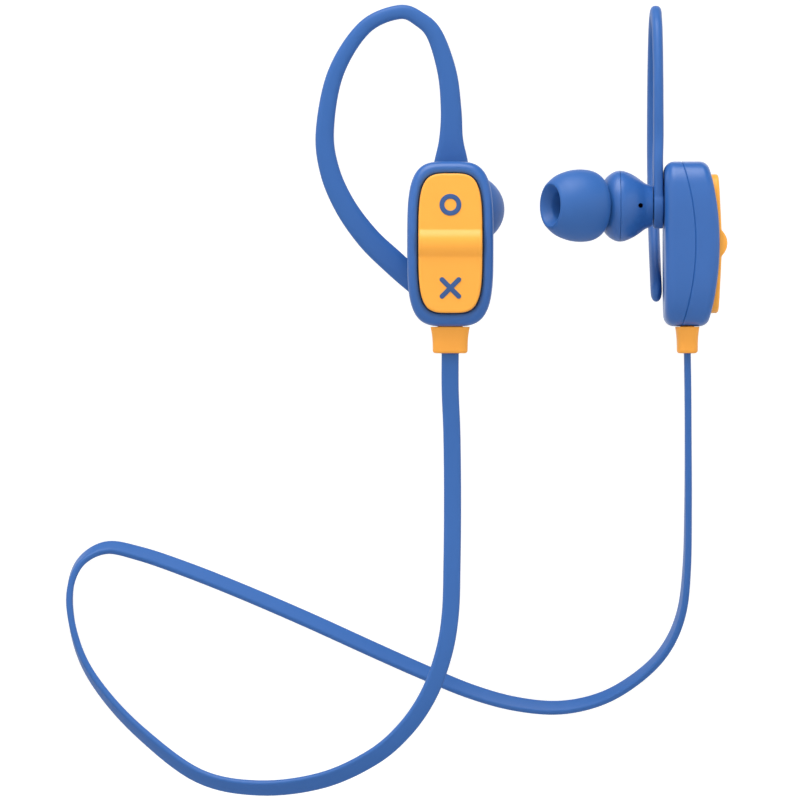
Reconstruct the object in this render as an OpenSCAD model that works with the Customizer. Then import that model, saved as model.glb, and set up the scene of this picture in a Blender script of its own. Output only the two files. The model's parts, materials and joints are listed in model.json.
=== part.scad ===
// Over-ear earphones joined by one flat neck cable.
// Frame: millimetres, +Z up. The origin is on the right earpiece's stem axis, at its pod's back face.
// On the right earpiece +Y points into the ear and +X forward; the left one is its mirror, turned 90 degrees.

/* [Pod] */
// Width of each pod, front to rear of the wearer
pod_w = 15; // [12.6:0.2:18]
// Height of each pod
pod_h = 28.7; // [24:0.1:34.5]
// Depth of each pod at its middle, without the key
pod_d = 9.45; // [9.2:0.05:11.5]
// Squareness of the pod's outline: 2 is an ellipse
outline_n = 3.8; // [3:0.1:5]
// Wall of the pod's shells
wall = 1.1; // [0.9:0.05:1.4]
// Rounding of the edge against the head
back_round = 1.8; // [1.2:0.1:2.4]
// Rounding of the edge round the key
front_round = 1.3; // [1:0.1:1.5]
// How far the front falls away at the pod's ends
front_drop = 2; // [0:0.1:2.4]
// Depth of the parting line at the middle
parting_mid = 5.3; // [5.1:0.1:5.8]
// Depth of the parting line at the ends
parting_end = 3; // [2.8:0.1:4]
// Height of the stem axis above the pod's middle
stem_rise = 6.6; // [5.5:0.1:7.5]

/* [Key] */
// Gap between the key and the pod all round
key_gap = 0.2; // [0.15:0.05:0.4]
// Border of the pod round the key
bezel_w = 1.75; // [1.2:0.05:2]
// Height of the key's middle above the pod's middle
key_shift = 0.05; // [-0.2:0.05:0.4]
// How far the key's face stands out of the pod at its middle
key_proud_mid = 0.5; // [0.3:0.1:1]
// How far the key's face stands out of the pod's middle plane at its ends
key_proud_end = -0.1; // [-0.4:0.1:0.4]
// Radius of the ridge across the key, round the pivot
ridge_r = 3; // [2.6:0.1:3.2]
// Diameter of the pivot pin
pin_d = 0.96; // [0.8:0.02:1.2]
// Width of the key's pivot lug
lug_w = 6; // [5:0.5:7]
// Distance from the pivot to each post
post_reach = 6.6; // [6:0.1:8]
// Diameter of a post
post_d = 1.8; // [1.4:0.1:2.2]
// Outer diameter of the ring sign
ring_d = 3.8; // [3:0.1:4.5]
// Stroke of the ring and cross signs
sign_stroke = 0.85; // [0.6:0.05:1]
// Span of the cross sign
cross_span = 3.75; // [3:0.05:4.5]
// How far the signs stand out of the key
sign_proud = 0.12; // [0.05:0.01:0.2]

/* [Driver housing and nozzle] */
// Outer diameter of the stem that holds the housing, and that the hook turns on
stem_d = 4.5; // [3.7:0.05:5.4]
// Widest diameter of the bulb round the driver
bulb_d = 12.4; // [11.8:0.1:15]
// Diameter of the bulb's neck
neck_d = 7; // [6.6:0.1:8]
// Distance from the pod to the bulb's seam
seam_y = 7.65; // [7.2:0.05:9]
// Wall of the housing
bulb_wall = 0.9; // [0.7:0.05:1]
// Height of the dome past the seam
dome_h = 3.9; // [3.4:0.1:4.5]
// Diameter of the driver
driver_d = 10; // [8:0.1:10]
// Thickness of the driver
driver_h = 2.2; // [1.8:0.1:2.4]
// Angle of the nozzle, forwards
nozzle_tilt = 27; // [20:1:35]
// Outer diameter of the nozzle tube
nozzle_d = 4.2; // [3.4:0.1:5]
// Diameter of the nozzle's bore
nozzle_bore = 3; // [2:0.1:3.2]
// Length of the nozzle from the housing's middle
nozzle_l = 9.6; // [9:0.1:11]
// Diameter of the vent hole
vent_d = 0.84; // [0.5:0.02:1]

/* [Ear tip] */
// Widest diameter of the ear tip
tip_d = 12.6; // [11.5:0.1:15]
// Length of the ear tip
tip_l = 9; // [8.4:0.1:10]
// Thickness of the ear tip's skirt
tip_skirt = 0.6; // [0.4:0.05:0.8]
// Thickness of the ear tip's core tube
tip_core = 0.75; // [0.5:0.05:1]

/* [Ear hook] */
// Outer diameter of the hook's ring
hub_d = 7.8; // [7.2:0.1:9]
// Thickness of the hook's ring
hub_h = 1.65; // [1.4:0.05:1.8]
// Share by which the whole hook is made wider or slimmer
hook_girth = 1; // [0.85:0.05:1.2]
// Diameter of the spring wire inside the hook
wire_d = 0.8; // [0.6:0.1:1]

/* [Cable] */
// Width of the flat cable
cable_w = 3; // [2.4:0.1:3.6]
// Thickness of the flat cable
cable_t = 1.15; // [0.9:0.05:1.4]
// Width of the strain relief
relief_w = 6.1; // [5:0.1:7]
// Thickness of the strain relief
relief_t = 3.6; // [3:0.1:4.4]
// Length of the strain relief
relief_l = 4.6; // [4:0.1:7]

/* [Electronics] */
// Thickness of a circuit board
board_t = 0.5; // [0.4:0.1:0.8]
// Height of a switch's body
switch_h = 0.8; // [0.6:0.1:1]
// Length of the charging socket's mouth, along the pod
usb_w = 7.5; // [7:0.1:7.8]
// Thickness of the charging socket
usb_t = 2.45; // [2.3:0.05:2.6]
// Depth of the charging socket into the pod
usb_l = 5; // [4:0.5:6]

/* [Fits] */
// Radial clearance of a running fit
run_gap = 0.05; // [0.02:0.01:0.08]
// Clearance between pieces laid side by side
lay_gap = 0.1; // [0.05:0.05:0.2]

/* [Hidden] */
$fn = 64;
SIDES = ["right", "left"];
PIECES = ["front_shell", "rear_shell", "key", "ring_sign", "cross_sign", "key_pin", "key_board",
    "switches", "upper_plunger", "lower_plunger", "strain_relief", "lock_ring",
    "driver_rear_housing", "driver_front_housing", "driver", "driver_leads", "nozzle_mesh",
    "ear_tip", "ear_hook", "hook_wire"];

BLUE = "#3f68ad";
AMBER = "#f7ad45";
STEEL = "#b9bcc0";
BOARD = "#1f6b43";

outline_steps = 40;
key_n = 4;
relief_n = 4;
eps = 0.01;

// Places: d is a depth into the pod from its back face, so y = -d
pod_z = -stem_rise;
pod_a = pod_w / 2;
pod_b = pod_h / 2;
key_z = pod_z + key_shift;
end_extra = 0.3;
pocket_a = pod_a - bezel_w;
pocket_b = pod_b - bezel_w - end_extra;
key_a = pocket_a - key_gap;
key_b = pocket_b - key_gap;

// Depths of the key's stack, counted back from the pod's front
pin_depth = pod_d - 1.6;
key_under = pod_d - 2.15;
web_front = pod_d - 2.75;
web_back = web_front - 0.7;
post_tip = web_back - 0.18;
plunger_top = post_tip - 0.04;
switch_top = plunger_top - 0.3;
board_front = switch_top - switch_h;
board_back = board_front - board_t;
plunger_d = 1.6;
plunger_l = 0.5;
switch_w = 3.4;
switch_l = 3;
sink = 0.3;
lug_r = pin_d / 2 + 0.45;
cheek_w = 1.2;
cheek_x = lug_w / 2 + 0.2;
pin_l = 2 * (cheek_x + cheek_w);
sign_root = 0.7;
ring_z = key_z + 6.65;
cross_z = key_z - 7.8;

// The stack behind the key board
inner_back = wall + lay_gap;
battery_t = board_back - inner_back - lay_gap;
battery_w = pod_w - 2 * wall - 3.4;
battery_top = -stem_d / 2 - 2.2;
cell_bottom = pod_z - pod_b + wall + 2.3;
main_top = battery_top + 0.3;
leads_d = 0.6;
radio_w = 7;
radio_t = 1;

// The strain relief and the cable
relief_depth = 4.1;
relief_top = pod_z - pod_b - 0.1;
relief_bottom = relief_top - relief_l;
relief_neck_w = relief_w - 1.7;
relief_neck_t = relief_t - 1.2;

// The charging socket, on the right pod's rear edge
usb_z = main_top - usb_w / 2;
usb_depth = inner_back + board_t + usb_t / 2;
flap_w = usb_w + 1.2;
flap_t = usb_t + 0.7;
flap_l = wall - 0.3;
nail_d = 1;
nail_l = 2;

// The hook's ring lies between the pod and the bulb
hub_y = 0.15;
neck_y = hub_y + hub_h + 0.2;
stem_end = wall + 0.75;
lead_bore = stem_d - 1.7;

// The ear tip along the nozzle's axis
nozzle_y = seam_y + 0.85;
barb_d = nozzle_d + 0.6;
tip_start = 3.8;
tip_bore_r = barb_d / 2 + run_gap;
mesh_r = nozzle_bore / 2 + 0.25;
mesh_t = 0.3;

left_x = 37.25;
left_y = -relief_depth;

// Ear hook: [x, z, y, width, thickness], from the stem over the ear to the tip behind it
hook_line = [
    [0, 0, 1, 7.4, 1.65], [0.1, 3.8, 1, 6.8, 1.7], [0.2, 7.7, 1.05, 6, 1.75], [0.2, 12, 0.95, 4.2, 1.8],
    [0.2, 17, 0.95, 3.65, 1.8], [-0.5, 23.5, 0.95, 3.35, 1.8], [-2.6, 30, 1, 2.9, 1.85],
    [-5.2, 32.8, 1.05, 2.65, 1.9], [-8.9, 34.15, 1.1, 2.5, 2], [-15, 31.4, 1.15, 2.6, 2],
    [-20, 23.5, 1.15, 2.85, 2], [-21.9, 13.5, 1.15, 3.2, 2], [-21.1, 6.5, 1.15, 3.5, 2],
    [-18.4, 0.2, 1.15, 3.8, 2], [-14.35, -5.4, 1.15, 4.1, 2], [-10, -9.6, 1.15, 4.3, 2],
    [-6.2, -13, 1.15, 4.2, 2], [-4.3, -14.6, 1.15, 4, 2]];

// Neck cable: [x, y, z, roll], from the right strain relief to the left one.
// At roll 0 the cable's wide face looks forward, along -Y, and at 90 its edge does.
cable_line = [
    [0, -relief_depth, relief_bottom, 0], [0, -4.1, -32, 0], [0.3, -4.4, -40, 1], [0.4, -5.2, -51, 2],
    [0.3, -6.6, -62, 4], [0, -7.6, -71, 7], [-1.2, -8.4, -78, 10], [-3.8, -9, -85, 13],
    [-7.9, -9.4, -91, 17], [-13.6, -9.4, -95.9, 21], [-22.4, -8.6, -99.9, 27], [-33.3, -7, -101.3, 36],
    [-43.8, -5, -99.3, 44], [-53.9, -2.6, -92, 56], [-61, -0.6, -84.5, 68], [-65, 1, -77.5, 80],
    [-66.7, 2.6, -69, 90], [-65.2, 4, -62.8, 78], [-60.6, 5.2, -59.8, 58], [-54.6, 5.9, -60.8, 48],
    [-46.4, 6.5, -63.6, 42], [-36.6, 7, -67.5, 40], [-25, 7.3, -72.5, 38], [-14, 7.2, -77.5, 38],
    [-5, 6.9, -81.5, 40], [3.5, 6.3, -85, 44], [11.5, 5.3, -87.2, 48], [19.5, 4, -87.8, 52],
    [27, 2.4, -86, 58], [33.4, 0.8, -82, 64], [37.8, -0.7, -77.2, 70], [40.4, -2.1, -71, 76],
    [41.3, -3.2, -63, 82], [41.5, -3.9, -52, 87], [41.5, -4.1, -40, 90], [41.45, -4.1, -32, 90],
    [left_x + relief_depth, left_y, relief_bottom, 90]];

// ---- Shapes from rules ----

function pull(v, n) = sign(v) * pow(abs(v), 2 / n);

// Superellipse of half-sizes a and b, as [x, z] points from the top
function outline(a, b, n = outline_n) = [for (i = [0 : outline_steps - 1])
    let (t = 360 * i / outline_steps) [a * pull(sin(t), n), b * pull(cos(t), n)]];

// A ring of the pod at a depth, which falls away by drop at the pod's ends
function pod_ring(inset, depth, drop) = [for (p = outline(pod_a - inset, pod_b - inset))
    [p[0], drop * pow(p[1] / pod_b, 2) - depth, p[1] + pod_z]];

// Rings of an edge rounded by r: inset falls from base + r to base while the depth grows by r
function back_rings(base, depth, r) = [for (a = [0 : 30 : 90])
    pod_ring(base + r * (1 - sin(a)), depth + r * (1 - cos(a)), 0)];
function front_rings(r) = [for (a = [0 : 22.5 : 90])
    pod_ring(r * (1 - cos(a)), pod_d - r * (1 - sin(a)), front_drop)];
parting_drop = parting_mid - parting_end;
parting_ring = pod_ring(0, parting_mid, parting_drop);

function smooth4(a, b, c, d, t) = 0.5 * (2 * b + (c - a) * t + (2 * a - 5 * b + 4 * c - d) * t * t
    + (3 * b - 3 * c + d - a) * t * t * t);

// A smooth curve through the points, with a number of steps between each two
function smooth(p, steps) = let (last = len(p) - 1) concat(
    [for (i = [0 : last - 1]) for (j = [0 : steps - 1])
        smooth4(p[max(i - 1, 0)], p[i], p[i + 1], p[min(i + 2, last)], j / steps)],
    [p[last]]);

function unit(v) = v / norm(v);
function way(p, i) = unit(p[min(i + 1, len(p) - 1)] - p[max(i - 1, 0)]);

// A solid through rings of equally many points, with flat ends
module skin(rings) {
    n = len(rings[0]);
    last = len(rings) - 1;
    sides = [for (k = [0 : last - 1]) for (i = [0 : n - 1]) let (j = (i + 1) % n) each [
        [k * n + i, (k + 1) * n + j, k * n + j],
        [k * n + i, (k + 1) * n + i, (k + 1) * n + j]]];
    ends = [[for (i = [0 : n - 1]) i], [for (i = [n - 1 : -1 : 0]) last * n + i]];
    polyhedron([for (ring = rings) each ring], concat(sides, ends), convexity = 6);
}

// The same, with each end made of flat strips across the ring, for ends that curve from top to bottom
module strip_skin(rings) {
    n = len(rings[0]);
    last = len(rings) - 1;
    sides = [for (k = [0 : last - 1]) for (i = [0 : n - 1]) let (j = (i + 1) % n) each [
        [k * n + i, k * n + j, (k + 1) * n + j],
        [k * n + i, (k + 1) * n + j, (k + 1) * n + i]]];
    near = concat([[n - 1, 1, 0]], [for (i = [1 : n / 2 - 2]) [n - i, n - i - 1, i + 1, i]],
        [[n / 2 + 1, n / 2, n / 2 - 1]]);
    far = [for (f = near) [for (i = [len(f) - 1 : -1 : 0]) last * n + f[i]]];
    polyhedron([for (ring = rings) each ring], concat(sides, near, far), convexity = 6);
}

// A prism along y between two depths, of the same kind of outline as the pod's or the key's
module outline_prism(a, b, z, from, to, n = key_n) {
    translate([0, -from, z]) rotate([90, 0, 0]) linear_extrude(to - from) polygon(outline(a, b, n));
}

// A prism along x of a profile of [y, z] points
module cross_prism(points, width) {
    translate([-width / 2, 0, 0]) rotate([90, 0, 90]) linear_extrude(width) polygon(points);
}

module x_cylinder(d, l) { rotate([0, 90, 0]) cylinder(d = d, h = l, center = true); }
module y_cylinder(d, from, to) { translate([0, from, 0]) rotate([-90, 0, 0]) cylinder(d = d, h = to - from); }

// A solid of revolution about the y axis, from [radius, y] points
module y_lathe(points) { rotate([-90, 0, 0]) rotate_extrude() polygon(points); }

// A bar with a rounded rectangle section w by t, along z
module slab(w, t, from, to) {
    r = t * 0.35;
    translate([0, 0, from]) linear_extrude(to - from) union() {
        square([w - 2 * r, t], center = true);
        square([w, t - 2 * r], center = true);
        for (x = [-1, 1]) for (y = [-1, 1]) translate([x * (w / 2 - r), y * (t / 2 - r)]) circle(r, $fn = 24);
    }
}

// Puts a piece made in the right earpiece's place where its side is
module place(side) {
    if (side == "right") children();
    else translate([left_x, left_y, 0]) rotate([0, 0, 90]) mirror([1, 0, 0]) children();
}

// Repeats something at the upper and the lower post
module at_posts() { for (z = [-1, 1]) translate([0, 0, key_z + z * post_reach]) children(); }

// ---- Pod ----

// Everything that the cable's strain relief needs cut in the shells
module relief_cut() {
    translate([0, -relief_depth, 0])
        slab(relief_neck_w + 2 * run_gap, relief_neck_t + 2 * run_gap, relief_top - 1, relief_top + wall + 1.4);
}

module flap_cut() {
    translate([-pod_a, -usb_depth, usb_z])
        cube([2 * (flap_l + run_gap), flap_t + 2 * run_gap, flap_w + 2 * run_gap], center = true);
    translate([-pod_a, -usb_depth, usb_z])
        cube([4 * wall, usb_t - 0.5, usb_w - 0.6], center = true);
}

module rear_shell(side) {
    color(BLUE) difference() {
        strip_skin(concat(back_rings(0, 0, back_round), [parting_ring]));
        strip_skin(concat(back_rings(wall, wall, back_round - wall + 0.1),
            [pod_ring(wall, parting_mid + 1, parting_drop)]));
        y_cylinder(stem_d + 2 * run_gap, -wall - 1, 1);
        relief_cut();
        if (side == "right") flap_cut();
    }
}

module front_shell() {
    color(BLUE) difference() {
        union() {
            difference() {
                strip_skin(concat([parting_ring], front_rings(min(front_round, bezel_w - 0.15))));
                outline_prism(pod_a - wall, pod_b - wall, pod_z, 0, web_back, outline_n);
                outline_prism(pocket_a, pocket_b, key_z, web_front, pod_d + 1);
            }
            for (x = [-1, 1])
                translate([x * (cheek_x + cheek_w / 2) - cheek_w / 2, -pin_depth - lug_r, key_z - lug_r])
                    cube([cheek_w, pin_depth + lug_r - web_front + sink, 2 * lug_r]);
        }
        translate([0, -pin_depth, key_z]) x_cylinder(pin_d, pin_l + eps);
        at_posts() y_cylinder(post_d + 0.7, -web_front - 1, -web_back + 1);
        relief_cut();
    }
}

// ---- Key ----

// Outside of the key as [y, z] points, raised by some height
function key_face(raise) = [
    [-key_under, key_z - key_b - 1], [-key_under, key_z + key_b + 1],
    [-pod_d - key_proud_end - raise, key_z + key_b + 1], [-pod_d - key_proud_mid - raise, key_z],
    [-pod_d - key_proud_end - raise, key_z - key_b - 1]];

module ring_prism() {
    translate([0, 0, ring_z]) difference() {
        y_cylinder(ring_d, -pod_d - 2, -pod_d - key_proud_end + sign_root);
        y_cylinder(ring_d - 2 * sign_stroke, -pod_d - 3, 0);
    }
}

module cross_prism_pair() {
    reach = (cross_span - sign_stroke) / sqrt(2);
    from = -pod_d - 2;
    to = -pod_d - key_proud_end + sign_root;
    translate([0, 0, cross_z]) for (a = [45, -45]) rotate([0, a, 0]) {
        translate([-reach, from, -sign_stroke / 2]) cube([2 * reach, to - from, sign_stroke]);
        for (x = [-1, 1]) translate([x * reach, 0, 0]) y_cylinder(sign_stroke, from, to);
    }
}

module ring_sign() {
    color(BLUE) intersection() {
        ring_prism();
        cross_prism(key_face(sign_proud), pod_w);
    }
}

module cross_sign() {
    color(BLUE) intersection() {
        cross_prism_pair();
        cross_prism(key_face(sign_proud), pod_w);
    }
}

module key() {
    color(AMBER) difference() {
        union() {
            intersection() {
                outline_prism(key_a, key_b, key_z, key_under, pod_d + 3);
                union() {
                    cross_prism(key_face(0), pod_w);
                    translate([0, -pin_depth, key_z]) x_cylinder(2 * ridge_r, pod_w);
                }
            }
            translate([0, -pin_depth, key_z]) x_cylinder(2 * lug_r, lug_w);
            at_posts() y_cylinder(post_d, -key_under - 0.5, -post_tip);
        }
        translate([0, -pin_depth, key_z]) x_cylinder(pin_d + 2 * run_gap, lug_w + 1);
        for (x = [-1, 1]) translate([x * (cheek_x + cheek_w / 2), -pin_depth, key_z])
            x_cylinder(2 * lug_r + 1, cheek_w + 0.3);
        ring_prism();
        cross_prism_pair();
    }
}

module key_pin() {
    color(STEEL) translate([0, -pin_depth, key_z]) x_cylinder(pin_d, pin_l);
}

// ---- Inside the pod ----

board_b = post_reach + 3.6;
port_front = inner_back + board_t + usb_t;
port_gap = 0.03;

// The right board is recessed behind where the charging socket would reach it, if the shells are thicker
module key_board(side) {
    recess = port_front + port_gap;
    color(BOARD) difference() {
        outline_prism(pod_a - wall - 0.7, board_b, key_z, board_back, board_front);
        if (side == "right" && recess > board_back + eps)
            translate([-pod_a, -recess, usb_z - usb_w / 2 - lay_gap])
                cube([wall + usb_l + 2 * lay_gap, recess, usb_w + 2 * lay_gap]);
    }
}

module switches() {
    color(STEEL) at_posts() difference() {
        translate([-switch_w / 2, -switch_top, -switch_l / 2]) cube([switch_w, switch_h, switch_l]);
        y_cylinder(plunger_d + 2 * run_gap, -switch_top - 1, -board_front - 0.15);
    }
}

module plunger(z) {
    color(BLUE) translate([0, 0, key_z + z * post_reach])
        y_cylinder(plunger_d, -plunger_top, -plunger_top + plunger_l);
}

module battery() {
    color("silver") translate([-battery_w / 2, -inner_back - battery_t, cell_bottom])
        cube([battery_w, battery_t, battery_top - cell_bottom]);
}

module main_board() {
    color(BOARD) translate([-battery_w / 2, -inner_back - board_t, cell_bottom])
        cube([battery_w, board_t, main_top - cell_bottom]);
}

module radio_module() {
    bottom = cell_bottom + 0.5;
    color(STEEL) translate([-radio_w / 2, -inner_back - board_t - radio_t, bottom])
        cube([radio_w, radio_t, usb_z - usb_w / 2 - 0.6 - bottom]);
}

module usb_port() {
    color(STEEL) translate([-pod_a + wall + lay_gap, -usb_depth, usb_z]) difference() {
        translate([0, -usb_t / 2, -usb_w / 2]) cube([usb_l, usb_t, usb_w]);
        translate([-1, -usb_t / 2 + 0.3, -usb_w / 2 + 0.35]) cube([usb_l, usb_t - 0.6, usb_w - 0.7]);
    }
    color("black") translate([-pod_a + wall + lay_gap + 0.8, -usb_depth - 0.3, usb_z - 2.1])
        cube([usb_l - 1.8 + eps, 0.6, 4.2]);
}

// The flap has a groove for a fingernail across its free end
module usb_flap() {
    color(BLUE) translate([-pod_a, -usb_depth, usb_z]) difference() {
        translate([0, -flap_t / 2, -flap_w / 2]) cube([flap_l, flap_t, flap_w]);
        translate([-nail_d / 4, 0, flap_w / 2 - 1.2]) y_cylinder(nail_d, -nail_l / 2, nail_l / 2);
    }
}

module lock_ring() {
    color(STEEL) difference() {
        y_cylinder(stem_d + 2.2, -stem_end, -wall - 0.02);
        y_cylinder(stem_d, -stem_end - 1, 0);
    }
}

module strain_relief() {
    flange_z = relief_top + wall + 0.4;
    color(AMBER) translate([0, -relief_depth, 0]) {
        slab(relief_neck_w, relief_neck_t, relief_top - eps, flange_z + eps);
        slab(relief_neck_w + 1.4, relief_neck_t + 0.9, flange_z, flange_z + 0.9);
        skin([for (s = [0 : 8]) let (
            u = s / 8, flare = pow(1 - u, 3) * 0.4, shut = s == 8 ? 0.25 : 0, z = relief_top - u * relief_l)
            [for (p = outline(relief_w / 2 + flare - shut, relief_t / 2 + flare * 0.75 - shut, relief_n))
                [p[0], p[1], z]]]);
    }
}

// ---- Driver housing ----

bulb_r = bulb_d / 2;
neck_r = neck_d / 2;
seat_y = seam_y - 1.75;

// Outside of the bulb from its neck to its seam: share of the way along, and of the way out
bulb_out = [[0, 0], [0.21, 0.17], [0.37, 0.41], [0.5, 0.6], [0.64, 0.77], [0.78, 0.9], [0.9, 0.975], [1, 1]];

module driver_rear_housing() {
    seat_r = driver_d / 2 + run_gap;
    color(BLUE) difference() {
        y_lathe(concat([[lead_bore / 2, -stem_end], [stem_d / 2, -stem_end], [stem_d / 2, neck_y]],
            [for (p = bulb_out) [neck_r + p[1] * (bulb_r - neck_r), neck_y + p[0] * (seam_y - neck_y)]],
            [[seat_r, seam_y], [seat_r, seat_y], [seat_r - 0.6, seat_y], [neck_r - 0.8, neck_y + 1.3],
             [lead_bore / 2, neck_y + 0.9]]));
        translate([0, neck_y + 0.37 * (seam_y - neck_y) + 0.1, 0]) x_cylinder_half(vent_d, bulb_r);
    }
}

module x_cylinder_half(d, l) { rotate([0, 90, 0]) cylinder(d = d, h = l); }

// Puts what is made along +Z from the origin onto the nozzle's axis
module along_nozzle() {
    translate([0, nozzle_y, 0]) rotate([0, 0, -nozzle_tilt]) rotate([-90, 0, 0]) children();
}

module driver_front_housing() {
    seat_r = driver_d / 2 + run_gap;
    inner_h = dome_h - bulb_wall;
    lift = driver_h - 1.75 + lay_gap;
    color(BLUE) difference() {
        union() {
            y_lathe(concat([[0, seam_y]], [for (a = [0 : 10 : 90])
                [bulb_r * pow(cos(a), 0.85), seam_y + dome_h * pow(sin(a), 1.1)]]));
            along_nozzle() rotate_extrude() polygon([
                [0, 0], [nozzle_d / 2, 0], [nozzle_d / 2, nozzle_l - 2], [barb_d / 2, nozzle_l - 1.5],
                [barb_d / 2, nozzle_l - 1], [nozzle_d / 2, nozzle_l], [0, nozzle_l]]);
        }
        y_lathe(concat([[0, seam_y - 1], [seat_r, seam_y - 1], [seat_r, seam_y + lift]],
            [for (a = [10 : 16 : 90]) [(seat_r - 0.3) * cos(a), seam_y + lift + (inner_h - lift) * sin(a)]]));
        along_nozzle() cylinder(d = nozzle_bore, h = nozzle_l + 1);
        along_nozzle() translate([0, 0, nozzle_l - mesh_t]) cylinder(r = mesh_r, h = 1);
    }
}

module driver() {
    r = driver_d / 2;
    front_y = seat_y + driver_h;
    color(STEEL) y_lathe([[0, seat_y], [r - 1.2, seat_y], [r - 1.2, seat_y + 0.02], [r, seat_y + 0.02],
        [r, front_y], [r - 0.8, front_y], [r - 1.4, front_y - 0.4], [0, front_y - 0.2]]);
}

module driver_leads() {
    color("firebrick") for (x = [-1, 1]) translate([x * (leads_d / 2 + 0.1), 0, 0])
        y_cylinder(leads_d, -board_back, seat_y);
}

module nozzle_mesh() {
    color("dimgray") along_nozzle() translate([0, 0, nozzle_l - mesh_t]) cylinder(r = mesh_r, h = mesh_t);
}

// ---- Ear tip ----

// Outside of the tip from its rim to its mouth: share of the length, and share of the widest radius
tip_out = [[0, 0.86], [0.05, 0.915], [0.13, 0.965], [0.24, 0.993], [0.38, 1], [0.52, 0.98], [0.66, 0.93],
    [0.78, 0.865], [0.87, 0.79], [0.94, 0.71], [0.98, 0.66], [1, 0.61]];

module ear_tip() {
    r = tip_d / 2;
    core_r = tip_bore_r + tip_core;
    color(BLUE) along_nozzle() translate([0, 0, tip_start]) rotate_extrude() polygon(concat(
        [for (p = tip_out) [r * p[1], tip_l * p[0]]],
        [[r * 0.57, tip_l * 0.99], [tip_bore_r, tip_l * 0.8], [tip_bore_r, 0.5], [core_r, 0.5],
         [core_r, tip_l * 0.72]],
        [for (i = [7 : -1 : 0]) [r * tip_out[i][1] - tip_skirt * (i > 5 ? 1.25 : 1),
            max(tip_l * tip_out[i][0] - (i > 4 ? 0.35 : 0), 0)]]));
}

// ---- Ear hook ----

hook_path = smooth(hook_line, 3);

// A cross-section of the hook at a station, drawn in to some share of its size
hook_sides = 14;
function hook_ring(s, t, shrink) = let (side_way = [t[1], -t[0]])
    [for (k = [0 : hook_sides - 1]) let (a = 360 * k / hook_sides,
        u = hook_girth * s[3] / 2 * shrink * pull(cos(a), 2.4), v = s[4] / 2 * shrink * pull(sin(a), 2.4))
        [s[0] + u * side_way[0], s[2] + v, s[1] + u * side_way[1]]];

function hook_way(i) = unit([for (k = [0, 1]) way([for (s = hook_path) [s[0], s[1]]], i)[k]]);
hook_last = len(hook_path) - 1;
function hook_end(u) = let (s = hook_path[hook_last], t = hook_way(hook_last))
    concat([s[0] + t[0] * u * s[3] / 2, s[1] + t[1] * u * s[3] / 2], [s[2], s[3], s[4]]);

// The spring wire's rings: a hexagon swept along the middle of the hook
wire_first = 4;
wire_last = hook_last - 1;
function wire_ring(i, d) = let (s = hook_path[i], t = hook_way(i), side_way = [t[1], -t[0]])
    [for (k = [0 : 5]) let (a = 60 * k, u = d / 2 * cos(a), v = d / 2 * sin(a))
        [s[0] + u * side_way[0], s[2] + v, s[1] + u * side_way[1]]];
module wire_sweep(d) { skin([for (i = [wire_first : wire_last]) wire_ring(i, d)]); }

module ear_hook() {
    color(BLUE) difference() {
        union() {
            y_cylinder(hub_d, hub_y, hub_y + hub_h);
            skin(concat(
                [for (i = [1 : hook_last]) hook_ring(hook_path[i], hook_way(i), 1)],
                [for (u = [0.4, 0.75, 0.95]) hook_ring(hook_end(u), hook_way(hook_last), sqrt(1 - u * u))]));
        }
        y_cylinder(stem_d + 2 * run_gap, hub_y - 1, hub_y + hub_h + 1);
        wire_sweep(wire_d + 0.04);
    }
}

module hook_wire() {
    color(STEEL) wire_sweep(wire_d);
}

// ---- Neck cable ----

cable_path = smooth(cable_line, 2);

// Eight-sided flat section of the cable, as [across the width, across the thickness]
cable_eight = [[0.82, -1], [-0.82, -1], [-1, -0.5], [-1, 0.5], [-0.82, 1], [0.82, 1], [1, 0.5], [1, -0.5]];
cable_section = [for (c = cable_eight) [c[0] * cable_w / 2, c[1] * cable_t / 2]];

function cable_ring(i) = let (
    s = cable_path[i], points = [for (p = cable_path) [p[0], p[1], p[2]]],
    t = i == 0 ? [0, 0, -1] : i == len(cable_path) - 1 ? [0, 0, 1] : way(points, i),
    face = unit([0, -1, 0] + t * t[1]), across = cross(t, face),
    w = across * cos(s[3]) + face * sin(s[3]), h = face * cos(s[3]) - across * sin(s[3]))
    [for (c = cable_section) [s[0], s[1], s[2]] + w * c[0] + h * c[1]];

module neck_cable() {
    color(BLUE) skin([for (i = [0 : len(cable_path) - 1]) cable_ring(i)]);
}

module piece(name, side) {
    place(side)
        if (name == "front_shell") front_shell();
        else if (name == "rear_shell") rear_shell(side);
        else if (name == "key") key();
        else if (name == "ring_sign") ring_sign();
        else if (name == "cross_sign") cross_sign();
        else if (name == "key_pin") key_pin();
        else if (name == "key_board") key_board(side);
        else if (name == "switches") switches();
        else if (name == "upper_plunger") plunger(1);
        else if (name == "lower_plunger") plunger(-1);
        else if (name == "strain_relief") strain_relief();
        else if (name == "lock_ring") lock_ring();
        else if (name == "driver_rear_housing") driver_rear_housing();
        else if (name == "driver_front_housing") driver_front_housing();
        else if (name == "driver") driver();
        else if (name == "driver_leads") driver_leads();
        else if (name == "nozzle_mesh") nozzle_mesh();
        else if (name == "ear_tip") ear_tip();
        else if (name == "ear_hook") ear_hook();
        else if (name == "hook_wire") hook_wire();
}

for (side = SIDES) for (name = PIECES)
    piece(name, side);
neck_cable();
main_board();  // right_main_board
radio_module();  // right_radio_module
usb_port();  // right_usb_port
usb_flap();  // right_usb_flap
place("left") battery();  // left_battery
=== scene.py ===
# %% [markdown]
# # Over-ear earphones on one flat neck cable
# Two mirrored earpieces hang on a flat cable. The imported model gives every size and place, so the first step
# loads it.

# %% Load the frame
import json
import math

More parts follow.
